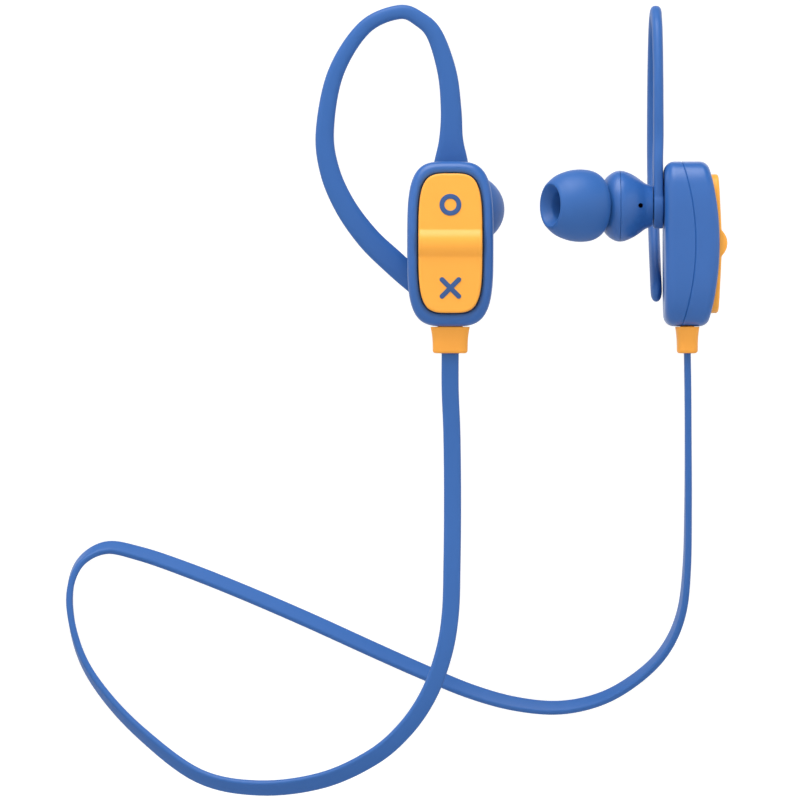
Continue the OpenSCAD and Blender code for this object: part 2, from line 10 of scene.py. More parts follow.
import bmesh
import bpy
import numpy as np
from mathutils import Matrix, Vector


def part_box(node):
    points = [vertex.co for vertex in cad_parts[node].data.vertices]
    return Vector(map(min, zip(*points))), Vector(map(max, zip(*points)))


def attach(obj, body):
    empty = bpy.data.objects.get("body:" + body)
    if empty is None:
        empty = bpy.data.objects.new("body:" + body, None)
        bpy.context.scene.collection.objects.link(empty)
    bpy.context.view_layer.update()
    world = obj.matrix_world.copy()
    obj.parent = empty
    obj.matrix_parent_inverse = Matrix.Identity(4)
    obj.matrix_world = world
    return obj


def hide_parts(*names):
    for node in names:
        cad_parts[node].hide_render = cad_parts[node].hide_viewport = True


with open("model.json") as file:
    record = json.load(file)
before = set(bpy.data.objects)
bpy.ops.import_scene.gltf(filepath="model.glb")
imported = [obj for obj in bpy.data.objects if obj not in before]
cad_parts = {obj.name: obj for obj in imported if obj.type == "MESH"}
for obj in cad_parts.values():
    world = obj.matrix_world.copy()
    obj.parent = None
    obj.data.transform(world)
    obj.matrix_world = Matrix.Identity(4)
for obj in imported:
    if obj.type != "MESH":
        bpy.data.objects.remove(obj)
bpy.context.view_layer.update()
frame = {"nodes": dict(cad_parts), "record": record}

scene = bpy.context.scene

# %% [markdown]
# All shapes below are drawn in millimetres on the right earpiece, whose stem axis is the y axis. A depth into
# the pod counts from its back face, so y is minus the depth. The main sizes are read back from the frame.

# %% Sizes of the pod and the key
MM = 0.001


def span(node):
    """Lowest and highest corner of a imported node, in millimetres."""
    low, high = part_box(node)
    return np.array(low) / MM, np.array(high) / MM


rear_low, rear_high = span("right_rear_shell")
front_low, front_high = span("right_front_shell")
key_low, key_high = span("right_key")
pin_low, pin_high = span("right_key_pin")
left_low, left_high = span("left_rear_shell")

pod_a = rear_high[0]
pod_b = (rear_high[2] - rear_low[2]) / 2
pod_z = (rear_high[2] + rear_low[2]) / 2
pod_d = -front_low[1]
parting_mid = -rear_low[1]
parting_drop = parting_mid + front_high[1]
key_a = key_high[0]
key_b = (key_high[2] - key_low[2]) / 2
key_z = (key_high[2] + key_low[2]) / 2
pin_depth = -(pin_high[1] + pin_low[1]) / 2
ridge_r = -key_low[1] - pin_depth
LEFT_X = left_low[0]
LEFT_Y = (left_high[1] + left_low[1]) / 2
print("pod", 2 * pod_a, 2 * pod_b, pod_d, "key", 2 * key_a, 2 * key_b, "ridge radius", ridge_r)

# %% [markdown]
# The camera looks straight along +Y from far away, as a product shot does, so both earpieces show with almost
# no perspective: the right one from its front, the left one from its side.

# %% Camera
VIEW_WIDTH = 0.140
CAMERA_Y = -1.2
camera_data = bpy.data.cameras.new("camera")
camera_data.sensor_width = 36
camera_data.lens = camera_data.sensor_width * -CAMERA_Y / VIEW_WIDTH
camera_data.clip_start = 0.05
camera_data.clip_end = 20
camera = bpy.data.objects.new("camera", camera_data)
camera.location = (-0.00875, CAMERA_Y, -0.0338)
camera.rotation_euler = (math.radians(90), 0, 0)
scene.collection.objects.link(camera)
scene.camera = camera
print("lens", round(camera_data.lens, 1), "mm")

# %% [markdown]
# Shader maths is written as sums. One small class wraps a socket: an operator on it adds a Math node, and
# its node() method adds any other kind, with the settings first and then the values or links.

# %% A socket that can be added up


class Tone:
    """A value in a material's node tree. Sums with it add Math nodes."""

    def __init__(self, tree, socket=None):
        self.tree = tree
        self.socket = socket

    def node(self, kind, settings=None, sockets=None, output=0):
        """A new node of any kind, as the Tone of one of its outputs."""
        made = self.tree.nodes.new(kind)
        for name, value in (settings or {}).items():
            if name == "stops":
                for stop, (place, colour) in zip(made.color_ramp.elements, value):
                    stop.position = place
                    stop.color = colour
            else:
                setattr(made, name, value)
        for name, value in (sockets or {}).items():
            if isinstance(value, Tone):
                self.tree.links.new(value.socket, made.inputs[name])
            else:
                made.inputs[name].default_value = value
        return Tone(self.tree, made.outputs[output])

    def maths(self, operation, first, second):
        return self.node("ShaderNodeMath", {"operation": operation}, {0: first, 1: second})

    def __add__(self, other):
        return self.maths("ADD", self, other)

    def __sub__(self, other):
        return self.maths("SUBTRACT", self, other)

    def __rsub__(self, other):
        return self.maths("SUBTRACT", other, self)

    def __mul__(self, other):
        return self.maths("MULTIPLY", self, other)

    __radd__ = __add__
    __rmul__ = __mul__


def new_finish(name, **constants):
    """A material, its main shader, and the Tone that its nodes start from."""
    material = bpy.data.materials.new(name)
    material.use_nodes = True
    shader = material.node_tree.nodes["Principled BSDF"]
    for socket, value in constants.items():
        shader.inputs[socket.replace("_", " ")].default_value = value
    return material, shader, Tone(material.node_tree)


def feed(shader, socket, tone):
    tone.tree.links.new(tone.socket, shader.inputs[socket])


# %% [markdown]
# Moulded plastic is not one flat colour: the melt flows a little unevenly and the mould is bead-blasted, so
# the tone drifts over centimetres and the gloss breaks up in a fine grain. Both come from noise in Object
# coordinates, whose unit is the metre, so the grain has its real size on every piece.

# %% Noise, shades and grain


def noise(start, size, detail=2.0, stretch=(1, 1, 1)):
    """Noise whose patches are size metres across, from 0 to 1."""
    place = start.node("ShaderNodeTexCoord", output="Object")
    place = start.node("ShaderNodeMapping", {}, {"Vector": place, "Scale": stretch})
    return start.node("ShaderNodeTexNoise", {}, {"Vector": place, "Scale": 1 / size, "Detail": detail})


def shade(start, mask, dark, light):
    """A colour between two, by a mask from 0 to 1."""
    return start.node("ShaderNodeMix", {"data_type": "RGBA"},
                      {0: mask, 6: (*dark, 1), 7: (*light, 1)}, output=2)


def grain(start, height, depth, strength=1.0):
    """A bump of depth metres for a height from 0 to 1."""
    return start.node("ShaderNodeBump", {}, {"Height": height, "Distance": depth, "Strength": strength})


def tinted(colour, share):
    return tuple(min(1.0, c * share) for c in colour)


def moulded(name, colour, roughness, size=0.00035, depth=0.000004, drift=0.04, **constants):
    """A moulded plastic or silicone with a blasted skin."""
    material, shader, start = new_finish(name, **constants)
    flow = noise(start, 0.011, 3)
    skin = noise(start, size, 4)
    feed(shader, "Base Color", shade(start, flow, tinted(colour, 1 - drift), tinted(colour, 1 + drift)))
    feed(shader, "Roughness", flow * 0.06 + skin * 0.08 + (roughness - 0.07))
    feed(shader, "Normal", grain(start, skin, depth))
    return material


def drawn_metal(name, colour, roughness, stretch, size=0.0002):
    """Metal with fine lines from its drawing or pressing."""
    material, shader, start = new_finish(name, Metallic=1.0)
    lines = noise(start, size, 3, stretch)
    cloud = noise(start, 0.003, 2)
    feed(shader, "Base Color", shade(start, cloud, tinted(colour, 0.9), tinted(colour, 1.06)))
    feed(shader, "Roughness", lines * 0.16 + cloud * 0.06 + (roughness - 0.11))
    feed(shader, "Normal", grain(start, lines, 0.000003))
    return material


BLUE = (0.024, 0.114, 0.380)
SOFT_BLUE = (0.024, 0.114, 0.372)
DEEP_BLUE = (0.020, 0.080, 0.250)
AMBER = (0.95, 0.400, 0.040)
SOFT_AMBER = (0.93, 0.375, 0.040)

finishes = {
    "blue_plastic": moulded("blue_plastic", BLUE, 0.36, Specular_IOR_Level=0.45),
    "amber_plastic": moulded("amber_plastic", AMBER, 0.42, drift=0.03),
    "sign_plastic": moulded("sign_plastic", DEEP_BLUE, 0.42),
    "amber_rubber": moulded("amber_rubber", SOFT_AMBER, 0.58, depth=0.000006),
    "blue_silicone": moulded("blue_silicone", SOFT_BLUE, 0.5, Specular_IOR_Level=0.4),
    "plunger_plastic": moulded("plunger_plastic", (0.05, 0.05, 0.055), 0.5),
    "wire_sleeve": moulded("wire_sleeve", (0.4, 0.04, 0.03), 0.45),
    "steel": drawn_metal("steel", (0.62, 0.63, 0.65), 0.3, (0.1, 1, 1)),
    "driver_metal": drawn_metal("driver_metal", (0.5, 0.51, 0.53), 0.4, (1, 1, 1)),
    "switch_metal": drawn_metal("switch_metal", (0.6, 0.6, 0.6), 0.35, (1, 1, 0.2)),
    "mesh_metal": drawn_metal("mesh_metal", (0.25, 0.26, 0.28), 0.45, (1, 1, 1), 0.00008),
    "cell_foil": drawn_metal("cell_foil", (0.7, 0.7, 0.71), 0.3, (1, 1, 0.15), 0.0006),
}
print("finishes", len(finishes))

# %% [markdown]
# A circuit board has copper tracks under a green solder mask, which stand out a little. Two sets of stretched
# noise, one for each direction of the tracks, make them without a drawing. The cable's sleeve is extruded, so
# its fine lines run lengthwise. They need a value that goes round the section, which the cable's own mesh
# carries as an attribute.

# %% Circuit board and cable sleeve


def circuit_board():
    material, shader, start = new_finish("circuit_board")
    up_tracks = noise(start, 0.0006, 0, (1, 1, 0.08))
    cross_tracks = noise(start, 0.0006, 0, (0.08, 0.08, 1))
    tracks = start.node("ShaderNodeMath", {"operation": "MAXIMUM"}, {0: up_tracks, 1: cross_tracks})
    ramp = start.node(
        "ShaderNodeValToRGB",
        {"stops": [(0.56, (0, 0, 0, 1)), (0.60, (1, 1, 1, 1))]},
        {0: tracks},
    )
    feed(shader, "Base Color", shade(start, ramp, (0.012, 0.09, 0.04), (0.03, 0.19, 0.08)))
    feed(shader, "Roughness", ramp * 0.1 + 0.3)
    feed(shader, "Normal", grain(start, ramp, 0.00003))
    return material


def cable_sleeve():
    material, shader, start = new_finish("cable_sleeve", Specular_IOR_Level=0.4)
    around = start.node("ShaderNodeAttribute", {"attribute_name": "around"}, output="Fac")
    along = start.node("ShaderNodeAttribute", {"attribute_name": "along"}, output="Fac")
    place = start.node("ShaderNodeCombineXYZ", {}, {0: around * 60, 1: along * 3})
    lines = start.node("ShaderNodeTexNoise", {}, {"Vector": place, "Scale": 1.0, "Detail": 2.0})
    flow = noise(start, 0.014, 3)
    feed(shader, "Base Color", shade(start, flow, tinted(SOFT_BLUE, 0.95), tinted(SOFT_BLUE, 1.05)))
    feed(shader, "Roughness", lines * 0.12 + flow * 0.05 + 0.38)
    feed(shader, "Normal", grain(start, lines, 0.000012))
    return material


finishes["circuit_board"] = circuit_board()
finishes["cable_sleeve"] = cable_sleeve()
print("finishes", sorted(finishes))

# %% [markdown]
# Shapes are kept as a form: an array of points in millimetres and a list of faces. A form is made once on the
# right earpiece. For the left one its points are mirrored and turned a quarter turn, which turns every face
# inside out, so the order of each face is reversed.

# %% Forms and pieces


def outward(points, faces):
    """The form with its faces pointing out, judged by the sign of its volume."""
    points = np.asarray(points, float)
    middle = points.mean(axis=0)
    volume = 0.0
    for face in faces:
        corners = points[list(face)] - middle
        for second, third in zip(corners[1:-1], corners[2:]):
            volume += np.dot(corners[0], np.cross(second, third))
    return points, ([face[::-1] for face in faces] if volume < 0 else [list(face) for face in faces])


def loft(rings, join=False):
    """A closed form through rings of equally many points. join leads the last ring back to the first."""
    count = len(rings[0])
    faces = []
    for k in range(len(rings) - (0 if join else 1)):
        near = k * count
        far = (k + 1) % len(rings) * count
        for i in range(count):
            j = (i + 1) % count
            faces.append([near + i, near + j, far + j, far + i])
    if not join:
        faces.append(list(range(count))[::-1])
        faces.append([(len(rings) - 1) * count + i for i in range(count)])
    return outward(np.vstack(rings), faces)


def mesh_of(name, form, side="right", scale=1.0):
    points, faces = form
    if side == "left":
        points = np.column_stack((LEFT_X - points[:, 1], LEFT_Y - points[:, 0], points[:, 2]))
        faces = [face[::-1] for face in faces]
    mesh = bpy.data.meshes.new(name)
    mesh.from_pydata((points * scale).tolist(), [], faces)
    return mesh


def carve(form, *tools, operation="DIFFERENCE"):
    """The form with the tools' forms cut from it, or joined to it."""
    objects = [bpy.data.objects.new("carving", mesh_of("carving", f)) for f in (form, *tools)]
    for obj in objects:
        scene.collection.objects.link(obj)
    for tool in objects[1:]:
        modifier = objects[0].modifiers.new("carve", "BOOLEAN")
        modifier.solver = "MANIFOLD"
        modifier.operation = operation
        modifier.object = tool
    graph = bpy.context.evaluated_depsgraph_get()
    result = bpy.data.meshes.new_from_object(objects[0].evaluated_get(graph))
    points = np.array([v.co for v in result.vertices], float).reshape(-1, 3)
    faces = [list(p.vertices) for p in result.polygons]
    for obj in objects:
        bpy.data.objects.remove(obj)
    bpy.data.meshes.remove(result)
    if not faces:
        raise RuntimeError("a carving came out empty")
    return points, faces


def settle(obj, finish, node, body, sharp=32):
    """Merges doubles, smooths all but the sharp edges, paints the piece and puts it on its body."""
    work = bmesh.new()
    work.from_mesh(obj.data)
    bmesh.ops.remove_doubles(work, verts=work.verts, dist=1e-7)
    bmesh.ops.dissolve_degenerate(work, edges=work.edges, dist=1e-8)
    work.to_mesh(obj.data)
    work.free()
    obj.data.shade_smooth()
    obj.data.set_sharp_from_angle(angle=math.radians(sharp))
    obj.data.materials.clear()
    obj.data.materials.append(finishes[finish])
    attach(obj, body)
    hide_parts(node)
    return obj


BODY_OF = {"key": "rocker", "ring_sign": "rocker", "cross_sign": "rocker",
           "ear_hook": "hook", "ear_tip": "tip"}


def pieces_on_both(name, form, finish, sharp=32):
    """The form as a piece on each earpiece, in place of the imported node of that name."""
    for side in ("right", "left"):
        obj = bpy.data.objects.new(f"{side}_{name}_looks", mesh_of(name, form, side, MM))
        scene.collection.objects.link(obj)
        body = f"{side}_{BODY_OF[name]}" if name in BODY_OF else "earpieces"
        settle(obj, finish, f"{side}_{name}", body, sharp)
    print(name, len(form[1]), "faces")


# %% [markdown]
# ## Neck cable
# The cable is a flat extruded ribbon about three times as wide as it is thick. It leaves each strain relief
# straight down, and its own stiffness makes the wide loop and the crossing. Geometry Nodes sweep a rounded
# rectangle along the route. A ribbon needs a chosen flat side at every point, so each point carries the
# direction of that side, which the tree gives to the curve as its normal.

# %% Route of the cable


def through(points, steps):
    """A smooth curve through the points, with a number of steps between each two."""
    p = np.asarray(points, float)
    last = len(p) - 1
    out = []
    for i in range(last):
        a, b, c, d = p[max(i - 1, 0)], p[i], p[i + 1], p[min(i + 2, last)]
        for t in np.arange(steps) / steps:
            slope = (c - a) * t + (2 * a - 5 * b + 4 * c - d) * t**2 + (3 * b - 3 * c + d - a) * t**3
            out.append(0.5 * (2 * b + slope))
    out.append(p[last])
    return np.array(out)


def unit(v):
    return v / np.linalg.norm(v, axis=-1, keepdims=True)


def ways(points):
    """The direction of a line of points at each of them."""
    return unit(np.vstack((points[1:2] - points[:1], points[2:] - points[:-2], points[-1:] - points[-2:-1])))


relief_bottom = span("right_strain_relief")[0][2]
relief_y = LEFT_Y

# [x, y, z, roll]: at roll 0 the wide face looks forward, along -Y, and at 90 the edge does
cable_line = [
    [0, relief_y, relief_bottom, 0], [0, -4.1, -32, 0], [0.3, -4.4, -40, 1], [0.4, -5.2, -51, 2],
    [0.3, -6.6, -62, 4], [0, -7.6, -71, 7], [-1.2, -8.4, -78, 10], [-3.8, -9, -85, 13],
    [-7.9, -9.4, -91, 17], [-13.6, -9.4, -95.9, 21], [-22.4, -8.6, -99.9, 27], [-33.3, -7, -101.3, 36],
    [-43.8, -5, -99.3, 44], [-53.9, -2.6, -92, 56], [-61, -0.6, -84.5, 68], [-65, 1, -77.5, 80],
    [-66.7, 2.6, -69, 90], [-65.2, 4, -62.8, 78], [-60.6, 5.2, -59.8, 58], [-54.6, 5.9, -60.8, 48],
    [-46.4, 6.5, -63.6, 42], [-36.6, 7, -67.5, 40], [-25, 7.3, -72.5, 38], [-14, 7.2, -77.5, 38],
    [-5, 6.9, -81.5, 40], [3.5, 6.3, -85, 44], [11.5, 5.3, -87.2, 48], [19.5, 4, -87.8, 52],
    [27, 2.4, -86, 58], [33.4, 0.8, -82, 64], [37.8, -0.7, -77.2, 70], [40.4, -2.1, -71, 76],
    [41.3, -3.2, -63, 82], [41.5, -3.9, -52, 87], [41.5, -4.1, -40, 90], [41.45, -4.1, -32, 90],
    [LEFT_X - relief_y, LEFT_Y, relief_bottom, 90]]
CABLE_STEPS = 8
stations = through(cable_line, CABLE_STEPS)
route = stations[:, :3]
roll = np.radians(stations[:, 3])[:, None]
heading = ways(route)
heading[0] = (0, 0, -1)
heading[-1] = (0, 0, 1)
face = unit(np.array([0, -1, 0]) + heading * heading[:, 1:2])
across = np.cross(heading, face)
flat_side = face * np.cos(roll) - across * np.sin(roll)

# %% Sweep of the cable
CABLE_WIDTH = 0.0030
CABLE_THICKNESS = 0.00115
CABLE_EDGE = 0.00046


def new_tree(name, inputs):
    """A Geometry Nodes tree with named inputs, and a function that adds a node to it."""
    tree = bpy.data.node_groups.new(name, "GeometryNodeTree")
    tree.interface.new_socket("Geometry", in_out="INPUT", socket_type="NodeSocketGeometry")
    for label, kind, value in inputs:
        socket = tree.interface.new_socket(label, in_out="INPUT", socket_type=kind)
        if value is not None:
            socket.default_value = value
    tree.interface.new_socket("Geometry", in_out="OUTPUT", socket_type="NodeSocketGeometry")

    def add(kind, settings=None, sockets=None):
        node = tree.nodes.new(kind)
        for key, value in (settings or {}).items():
            setattr(node, key, value)
        for key, value in (sockets or {}).items():
            if isinstance(value, bpy.types.NodeSocket):
                tree.links.new(value, node.inputs[key])
            else:
                node.inputs[key].default_value = value
        return node.outputs

    return tree, add


def grow(obj, tree, **values):
    """Runs the tree on the object with these inputs, and keeps the result as the object's plain mesh."""
    modifier = obj.modifiers.new("grow", "NODES")
    modifier.node_group = tree
    for item in tree.interface.items_tree:
        label = item.name.replace(" ", "_")
        if item.in_out == "INPUT" and label in values:
            modifier[item.identifier] = values[label]
    graph = bpy.context.evaluated_depsgraph_get()
    result = bpy.data.meshes.new_from_object(obj.evaluated_get(graph))
    obj.modifiers.remove(modifier)
    obj.data = result
    return obj


FLOAT = "NodeSocketFloat"


def ribbon_tree():
    tree, add = new_tree("ribbon", [
        ("Width", FLOAT, 0.003), ("Thickness", FLOAT, 0.001), ("Edge Radius", FLOAT, 0.0004),
        ("Finish", "NodeSocketMaterial", None)])
    given = add("NodeGroupInput")
    line = add("GeometryNodeMeshToCurve", {}, {"Mesh": given["Geometry"]})["Curve"]
    side = add("GeometryNodeInputNamedAttribute", {"data_type": "FLOAT_VECTOR"},
               {"Name": "flat_side"})["Attribute"]
    line = add("GeometryNodeSetCurveNormal", {"mode": "FREE"}, {"Curve": line, "Normal": side})["Curve"]
    section = add("GeometryNodeCurvePrimitiveQuadrilateral", {},
                  {"Width": given["Thickness"], "Height": given["Width"]})
    section = add("GeometryNodeFilletCurve", {"mode": "POLY"},
                  {"Curve": section["Curve"], "Radius": given["Edge Radius"], "Count": 5})
    share = add("GeometryNodeSplineParameter")
    named = {"data_type": "FLOAT", "domain": "POINT"}
    section = add("GeometryNodeStoreNamedAttribute", named,
                  {"Geometry": section["Curve"], "Name": "around", "Value": share["Factor"]})
    line = add("GeometryNodeStoreNamedAttribute", named,
               {"Geometry": line, "Name": "along", "Value": share["Factor"]})
    swept = add("GeometryNodeCurveToMesh", {},
                {"Curve": line["Geometry"], "Profile Curve": section["Geometry"], "Fill Caps": True})
    whole = add("GeometryNodeRealizeInstances", {}, {"Geometry": swept["Mesh"]})
    painted = add("GeometryNodeSetMaterial", {}, {"Geometry": whole["Geometry"], "Material": given["Finish"]})
    add("NodeGroupOutput", {}, {"Geometry": painted["Geometry"]})
    return tree


line_mesh = bpy.data.meshes.new("neck_cable_looks")
line_mesh.from_pydata((route * MM).tolist(), [(i, i + 1) for i in range(len(route) - 1)], [])
line_mesh.attributes.new("flat_side", "FLOAT_VECTOR", "POINT").data.foreach_set("vector", flat_side.ravel())
neck_cable = bpy.data.objects.new("neck_cable_looks", line_mesh)
scene.collection.objects.link(neck_cable)
grow(neck_cable, ribbon_tree(), Width=CABLE_WIDTH, Thickness=CABLE_THICKNESS, Edge_Radius=CABLE_EDGE,
     Finish=finishes["cable_sleeve"])
settle(neck_cable, "cable_sleeve", "neck_cable", "earpieces", sharp=60)
print("cable mesh", len(neck_cable.data.polygons), "faces")

# %% [markdown]
# ## Pod
# Each pod is two moulded shells that meet at a curved parting line. Their outline is a superellipse, rounder
# than a box and squarer than an oval. Both shells are closed lofts: rings of that outline walk over the
# outside, turn in at the parting line and come back along the inside, so the wall has its real thickness.

# %% Outlines
AROUND = 160
POD_N = 3.8
WALL = 1.1
STEM_HOLE_R = 2.3
BACK_ROUND = 1.8
FRONT_DROP = 2.0


def outline(a, b, n=4.0, count=AROUND):
    """Evenly spaced [x, z] points of a superellipse of half-sizes a and b, from its top."""
    t = np.linspace(0, 2 * np.pi, 4001)
    x = a * np.sign(np.sin(t)) * np.abs(np.sin(t)) ** (2 / n)
    z = b * np.sign(np.cos(t)) * np.abs(np.cos(t)) ** (2 / n)
    run = np.concatenate(([0], np.cumsum(np.hypot(np.diff(x), np.diff(z)))))
    even = np.arange(count) / count * run[-1]
    return np.column_stack((np.interp(even, run, x), np.interp(even, run, z)))


def level(flat, depth, drop=0.0):
    """[x, z] points set at a depth that falls away by drop towards the pod's ends."""
    fall = drop * ((flat[:, 1] - pod_z) / pod_b) ** 2
    return np.column_stack((flat[:, 0], fall - depth, flat[:, 1]))


def pod_outline(inset):
    return outline(pod_a - inset, pod_b - inset, POD_N) + (0, pod_z)


def pod_ring(inset, depth, drop=0.0):
    return level(pod_outline(inset), depth, drop)


def circle_towards(flat, centre, radius):
    """A circle's points, each in the direction of the outline's point."""
    return centre + radius * unit(flat - centre)


def between(first, second, shares):
    return [first * (1 - s) + second * s for s in shares]


def quarter(steps):
    return np.radians(np.linspace(0, 90, steps + 1))


# %% Rear shell
GROOVE = 0.13


def rear_shell():
    """The shell against the head, from its stem hole out over the back and side and back along the inside."""
    flat = pod_outline(BACK_ROUND)
    hole = level(circle_towards(flat, np.zeros(2), STEM_HOLE_R), 0)
    outside = [pod_ring(BACK_ROUND * (1 - math.sin(a)), BACK_ROUND * (1 - math.cos(a))) for a in quarter(10)]
    side = [pod_ring(0, BACK_ROUND + (parting_mid - GROOVE - BACK_ROUND) * s, parting_drop * s)
            for s in (0.1, 0.3, 0.55, 0.8, 1)]
    lip = [pod_ring(GROOVE * s, parting_mid - GROOVE * (1 - s), parting_drop) for s in (0.25, 1)]
    inner_round = BACK_ROUND - WALL + 0.1
    inside = [pod_ring(WALL, WALL + inner_round + (parting_mid - 0.02 - WALL - inner_round) * s,
                       parting_drop * s)
              for s in (1, 0.5, 0)]
    inside += [pod_ring(WALL + inner_round * (1 - math.cos(a)), WALL + inner_round * (1 - math.sin(a)))
               for a in quarter(4)[1:]]
    inner_hole = level(circle_towards(flat, np.zeros(2), STEM_HOLE_R), WALL)
    rings = [hole, *between(hole, outside[0], (0.3, 0.7)), *outside, *side, *lip, *inside,
             *between(inside[-1], inner_hole, (0.5, 1))]
    return loft(rings, join=True)


def bar(centre, size):
    """A plain box."""
    c, h = np.array(centre, float), np.array(size, float) / 2
    square = np.array([[-1, -1], [1, -1], [1, 1], [-1, 1]])
    return loft([np.array([[c[0] + sx * h[0], c[1] + sy * h[1], c[2] + sz * h[2]] for sx, sy in square])
                 for sz in (-1, 1)])


def rod(start, end, radius, count=40):
    """A plain cylinder between two points."""
    start, end = np.array(start, float), np.array(end, float)
    along = unit(end - start)
    u = unit(np.cross(along, (0.3, 0.2, 0.9)))
    v = np.cross(along, u)
    t = np.linspace(0, 2 * np.pi, count, endpoint=False)[:, None]
    ring = radius * (np.cos(t) * u + np.sin(t) * v)
    return loft([start + ring, end + ring])


relief_low = span("right_strain_relief")[0]
port_low, port_high = span("right_usb_port")
flap_low, flap_high = span("right_usb_flap")
port_y = (port_low[1] + port_high[1]) / 2
port_z = (port_low[2] + port_high[2]) / 2
flap_t = flap_high[1] - flap_low[1]
flap_w = flap_high[2] - flap_low[2]
FIT = 0.05
NECK_W = 4.4
NECK_T = 2.4

relief_slot = bar((0, relief_y, pod_z - pod_b + 0.9), (NECK_W + 2 * FIT, NECK_T + 2 * FIT, 4.4))
flap_seat = loft([np.column_stack((np.full(64, x), o[:, 0] + port_y, o[:, 1] + port_z))
                  for x in (-pod_a - 0.8, -pod_a + 0.85)
                  for o in [outline(flap_t / 2 + FIT, flap_w / 2 + FIT, 7, 64)]])
socket_mouth = bar((-pod_a, port_y, port_z), (4.4, 1.95, 6.9))

rear = carve(rear_shell(), relief_slot)
right_rear = carve(rear, flap_seat, socket_mouth)
for side, form in (("right", right_rear), ("left", rear)):
    obj = bpy.data.objects.new(f"{side}_rear_shell_looks", mesh_of("rear_shell", form, side, MM))
    scene.collection.objects.link(obj)
    settle(obj, "blue_plastic", f"{side}_rear_shell", "earpieces")
    print(obj.name, len(form[1]), "faces")

# %% [markdown]
# The front shell's border is a bead: it rolls over from the side, reaches its crest, and falls a little
# towards the key. A thin dark gap is left round the key. The floor of the pocket has holes for the key's
# posts, and two cheeks on it hold the key's pivot pin.

# %% Front shell
KEY_GAP = 0.2
CREST_INSET = 1.05
BEAD_DEPTH = 1.3
BEAD_FALL = 0.34
WEB_FRONT = pod_d - 2.75
WEB_BACK = WEB_FRONT - 0.7
POST_REACH = 6.6
POST_R = 0.9
LUG_W = 6.0
CHEEK_W = 1.2
LUG_R = 0.93
PIN_R = 0.48


def front_shell():
    pocket = outline(key_a + KEY_GAP, key_b + KEY_GAP) + (0, key_z)
    crest = pod_outline(CREST_INSET)
    rings = [level(pocket, WEB_FRONT), level(pocket, pod_d - BEAD_FALL - 0.35, FRONT_DROP)]
    for share in (0, 0.08, 0.2, 0.4, 0.6, 0.8, 1):
        fall = BEAD_FALL * (1 - share) ** 2 + (0.1 if share == 0 else 0)
        rings.append(level(pocket * (1 - share) + crest * share, pod_d - fall, FRONT_DROP))
    for a in quarter(10)[1:]:
        rings.append(pod_ring(CREST_INSET * (1 - math.sin(a)),
                              pod_d - BEAD_DEPTH * (1 - math.cos(a)), FRONT_DROP))
    edge = pod_d - BEAD_DEPTH
    for s in (0.3, 0.65, 0.9, 1):
        depth = edge + (parting_mid + GROOVE - edge) * s
        rings.append(pod_ring(0, depth, FRONT_DROP + (parting_drop - FRONT_DROP) * s))
    rings += [pod_ring(GROOVE * s, parting_mid + GROOVE * (1 - s), parting_drop) for s in (0.75, 1)]
    rings += [pod_ring(WALL, parting_mid + 0.02, parting_drop), pod_ring(WALL, WEB_BACK)]
    return loft(rings)


cheeks = [bar((x * (LUG_W / 2 + 0.2 + CHEEK_W / 2), -(pin_depth + LUG_R + WEB_FRONT - 0.3) / 2, key_z),
              (CHEEK_W, pin_depth + LUG_R - WEB_FRONT + 0.3, 2 * LUG_R)) for x in (-1, 1)]
pin_bore = rod((-4.5, -pin_depth, key_z), (4.5, -pin_depth, key_z), PIN_R + 0.01)
post_holes = [rod((0, -WEB_FRONT - 1, key_z + z), (0, -WEB_BACK + 1, key_z + z), POST_R + 0.35)
              for z in (-POST_REACH, POST_REACH)]
front = carve(front_shell(), *cheeks, operation="UNION")
front = carve(front, pin_bore, *post_holes, relief_slot)
pieces_on_both("front_shell", front, "blue_plastic")

# %% [markdown]
# ## Key and its signs
# The key is one rocking plate. Its face slopes from the middle to both ends, and a round ridge crosses it,
# centred on the pivot pin. The face is made of rows across the key, so that the ridge's foot has rows of its
# own, and its edge rolls over into the side in a few rings.

# %% Key face
KEY_UNDER = pod_d - 2.15
PROUD_MID = 0.5
PROUD_END = -0.1
EDGE_ROUND = 0.4
FOOT = 0.28
HALF_ROWS = 60
ridge_foot = math.sqrt(ridge_r**2 - (pod_d + PROUD_MID - pin_depth) ** 2)


def key_depth(z):
    """How far out the key's face stands at a height, with the ridge blended in."""
    flat = pod_d + PROUD_MID - (PROUD_MID - PROUD_END) * np.abs(z - key_z) / (key_b + 1)
    round_part = pin_depth + np.sqrt(np.maximum(ridge_r**2 - (z - key_z) ** 2, 0))
    mix = np.clip(0.5 + 0.5 * (round_part - flat) / FOOT, 0, 1)
    return flat * (1 - mix) + round_part * mix + FOOT * mix * (1 - mix)


def key_rows():
    """The right half of the key's outline from top to bottom, with extra rows at the ridge."""
    half = outline(key_a, key_b, count=2 * HALF_ROWS)[: HALF_ROWS + 1]
    heights = half[:, 1]
    ridge = np.linspace(-ridge_foot - 0.7, ridge_foot + 0.7, 41)
    heights = np.concatenate((heights[heights > ridge[-1]], ridge[::-1], heights[heights < ridge[0]]))
    wide = key_a * np.maximum(1 - (heights / key_b) ** 4, 0) ** 0.25
    return np.column_stack((wide, heights))


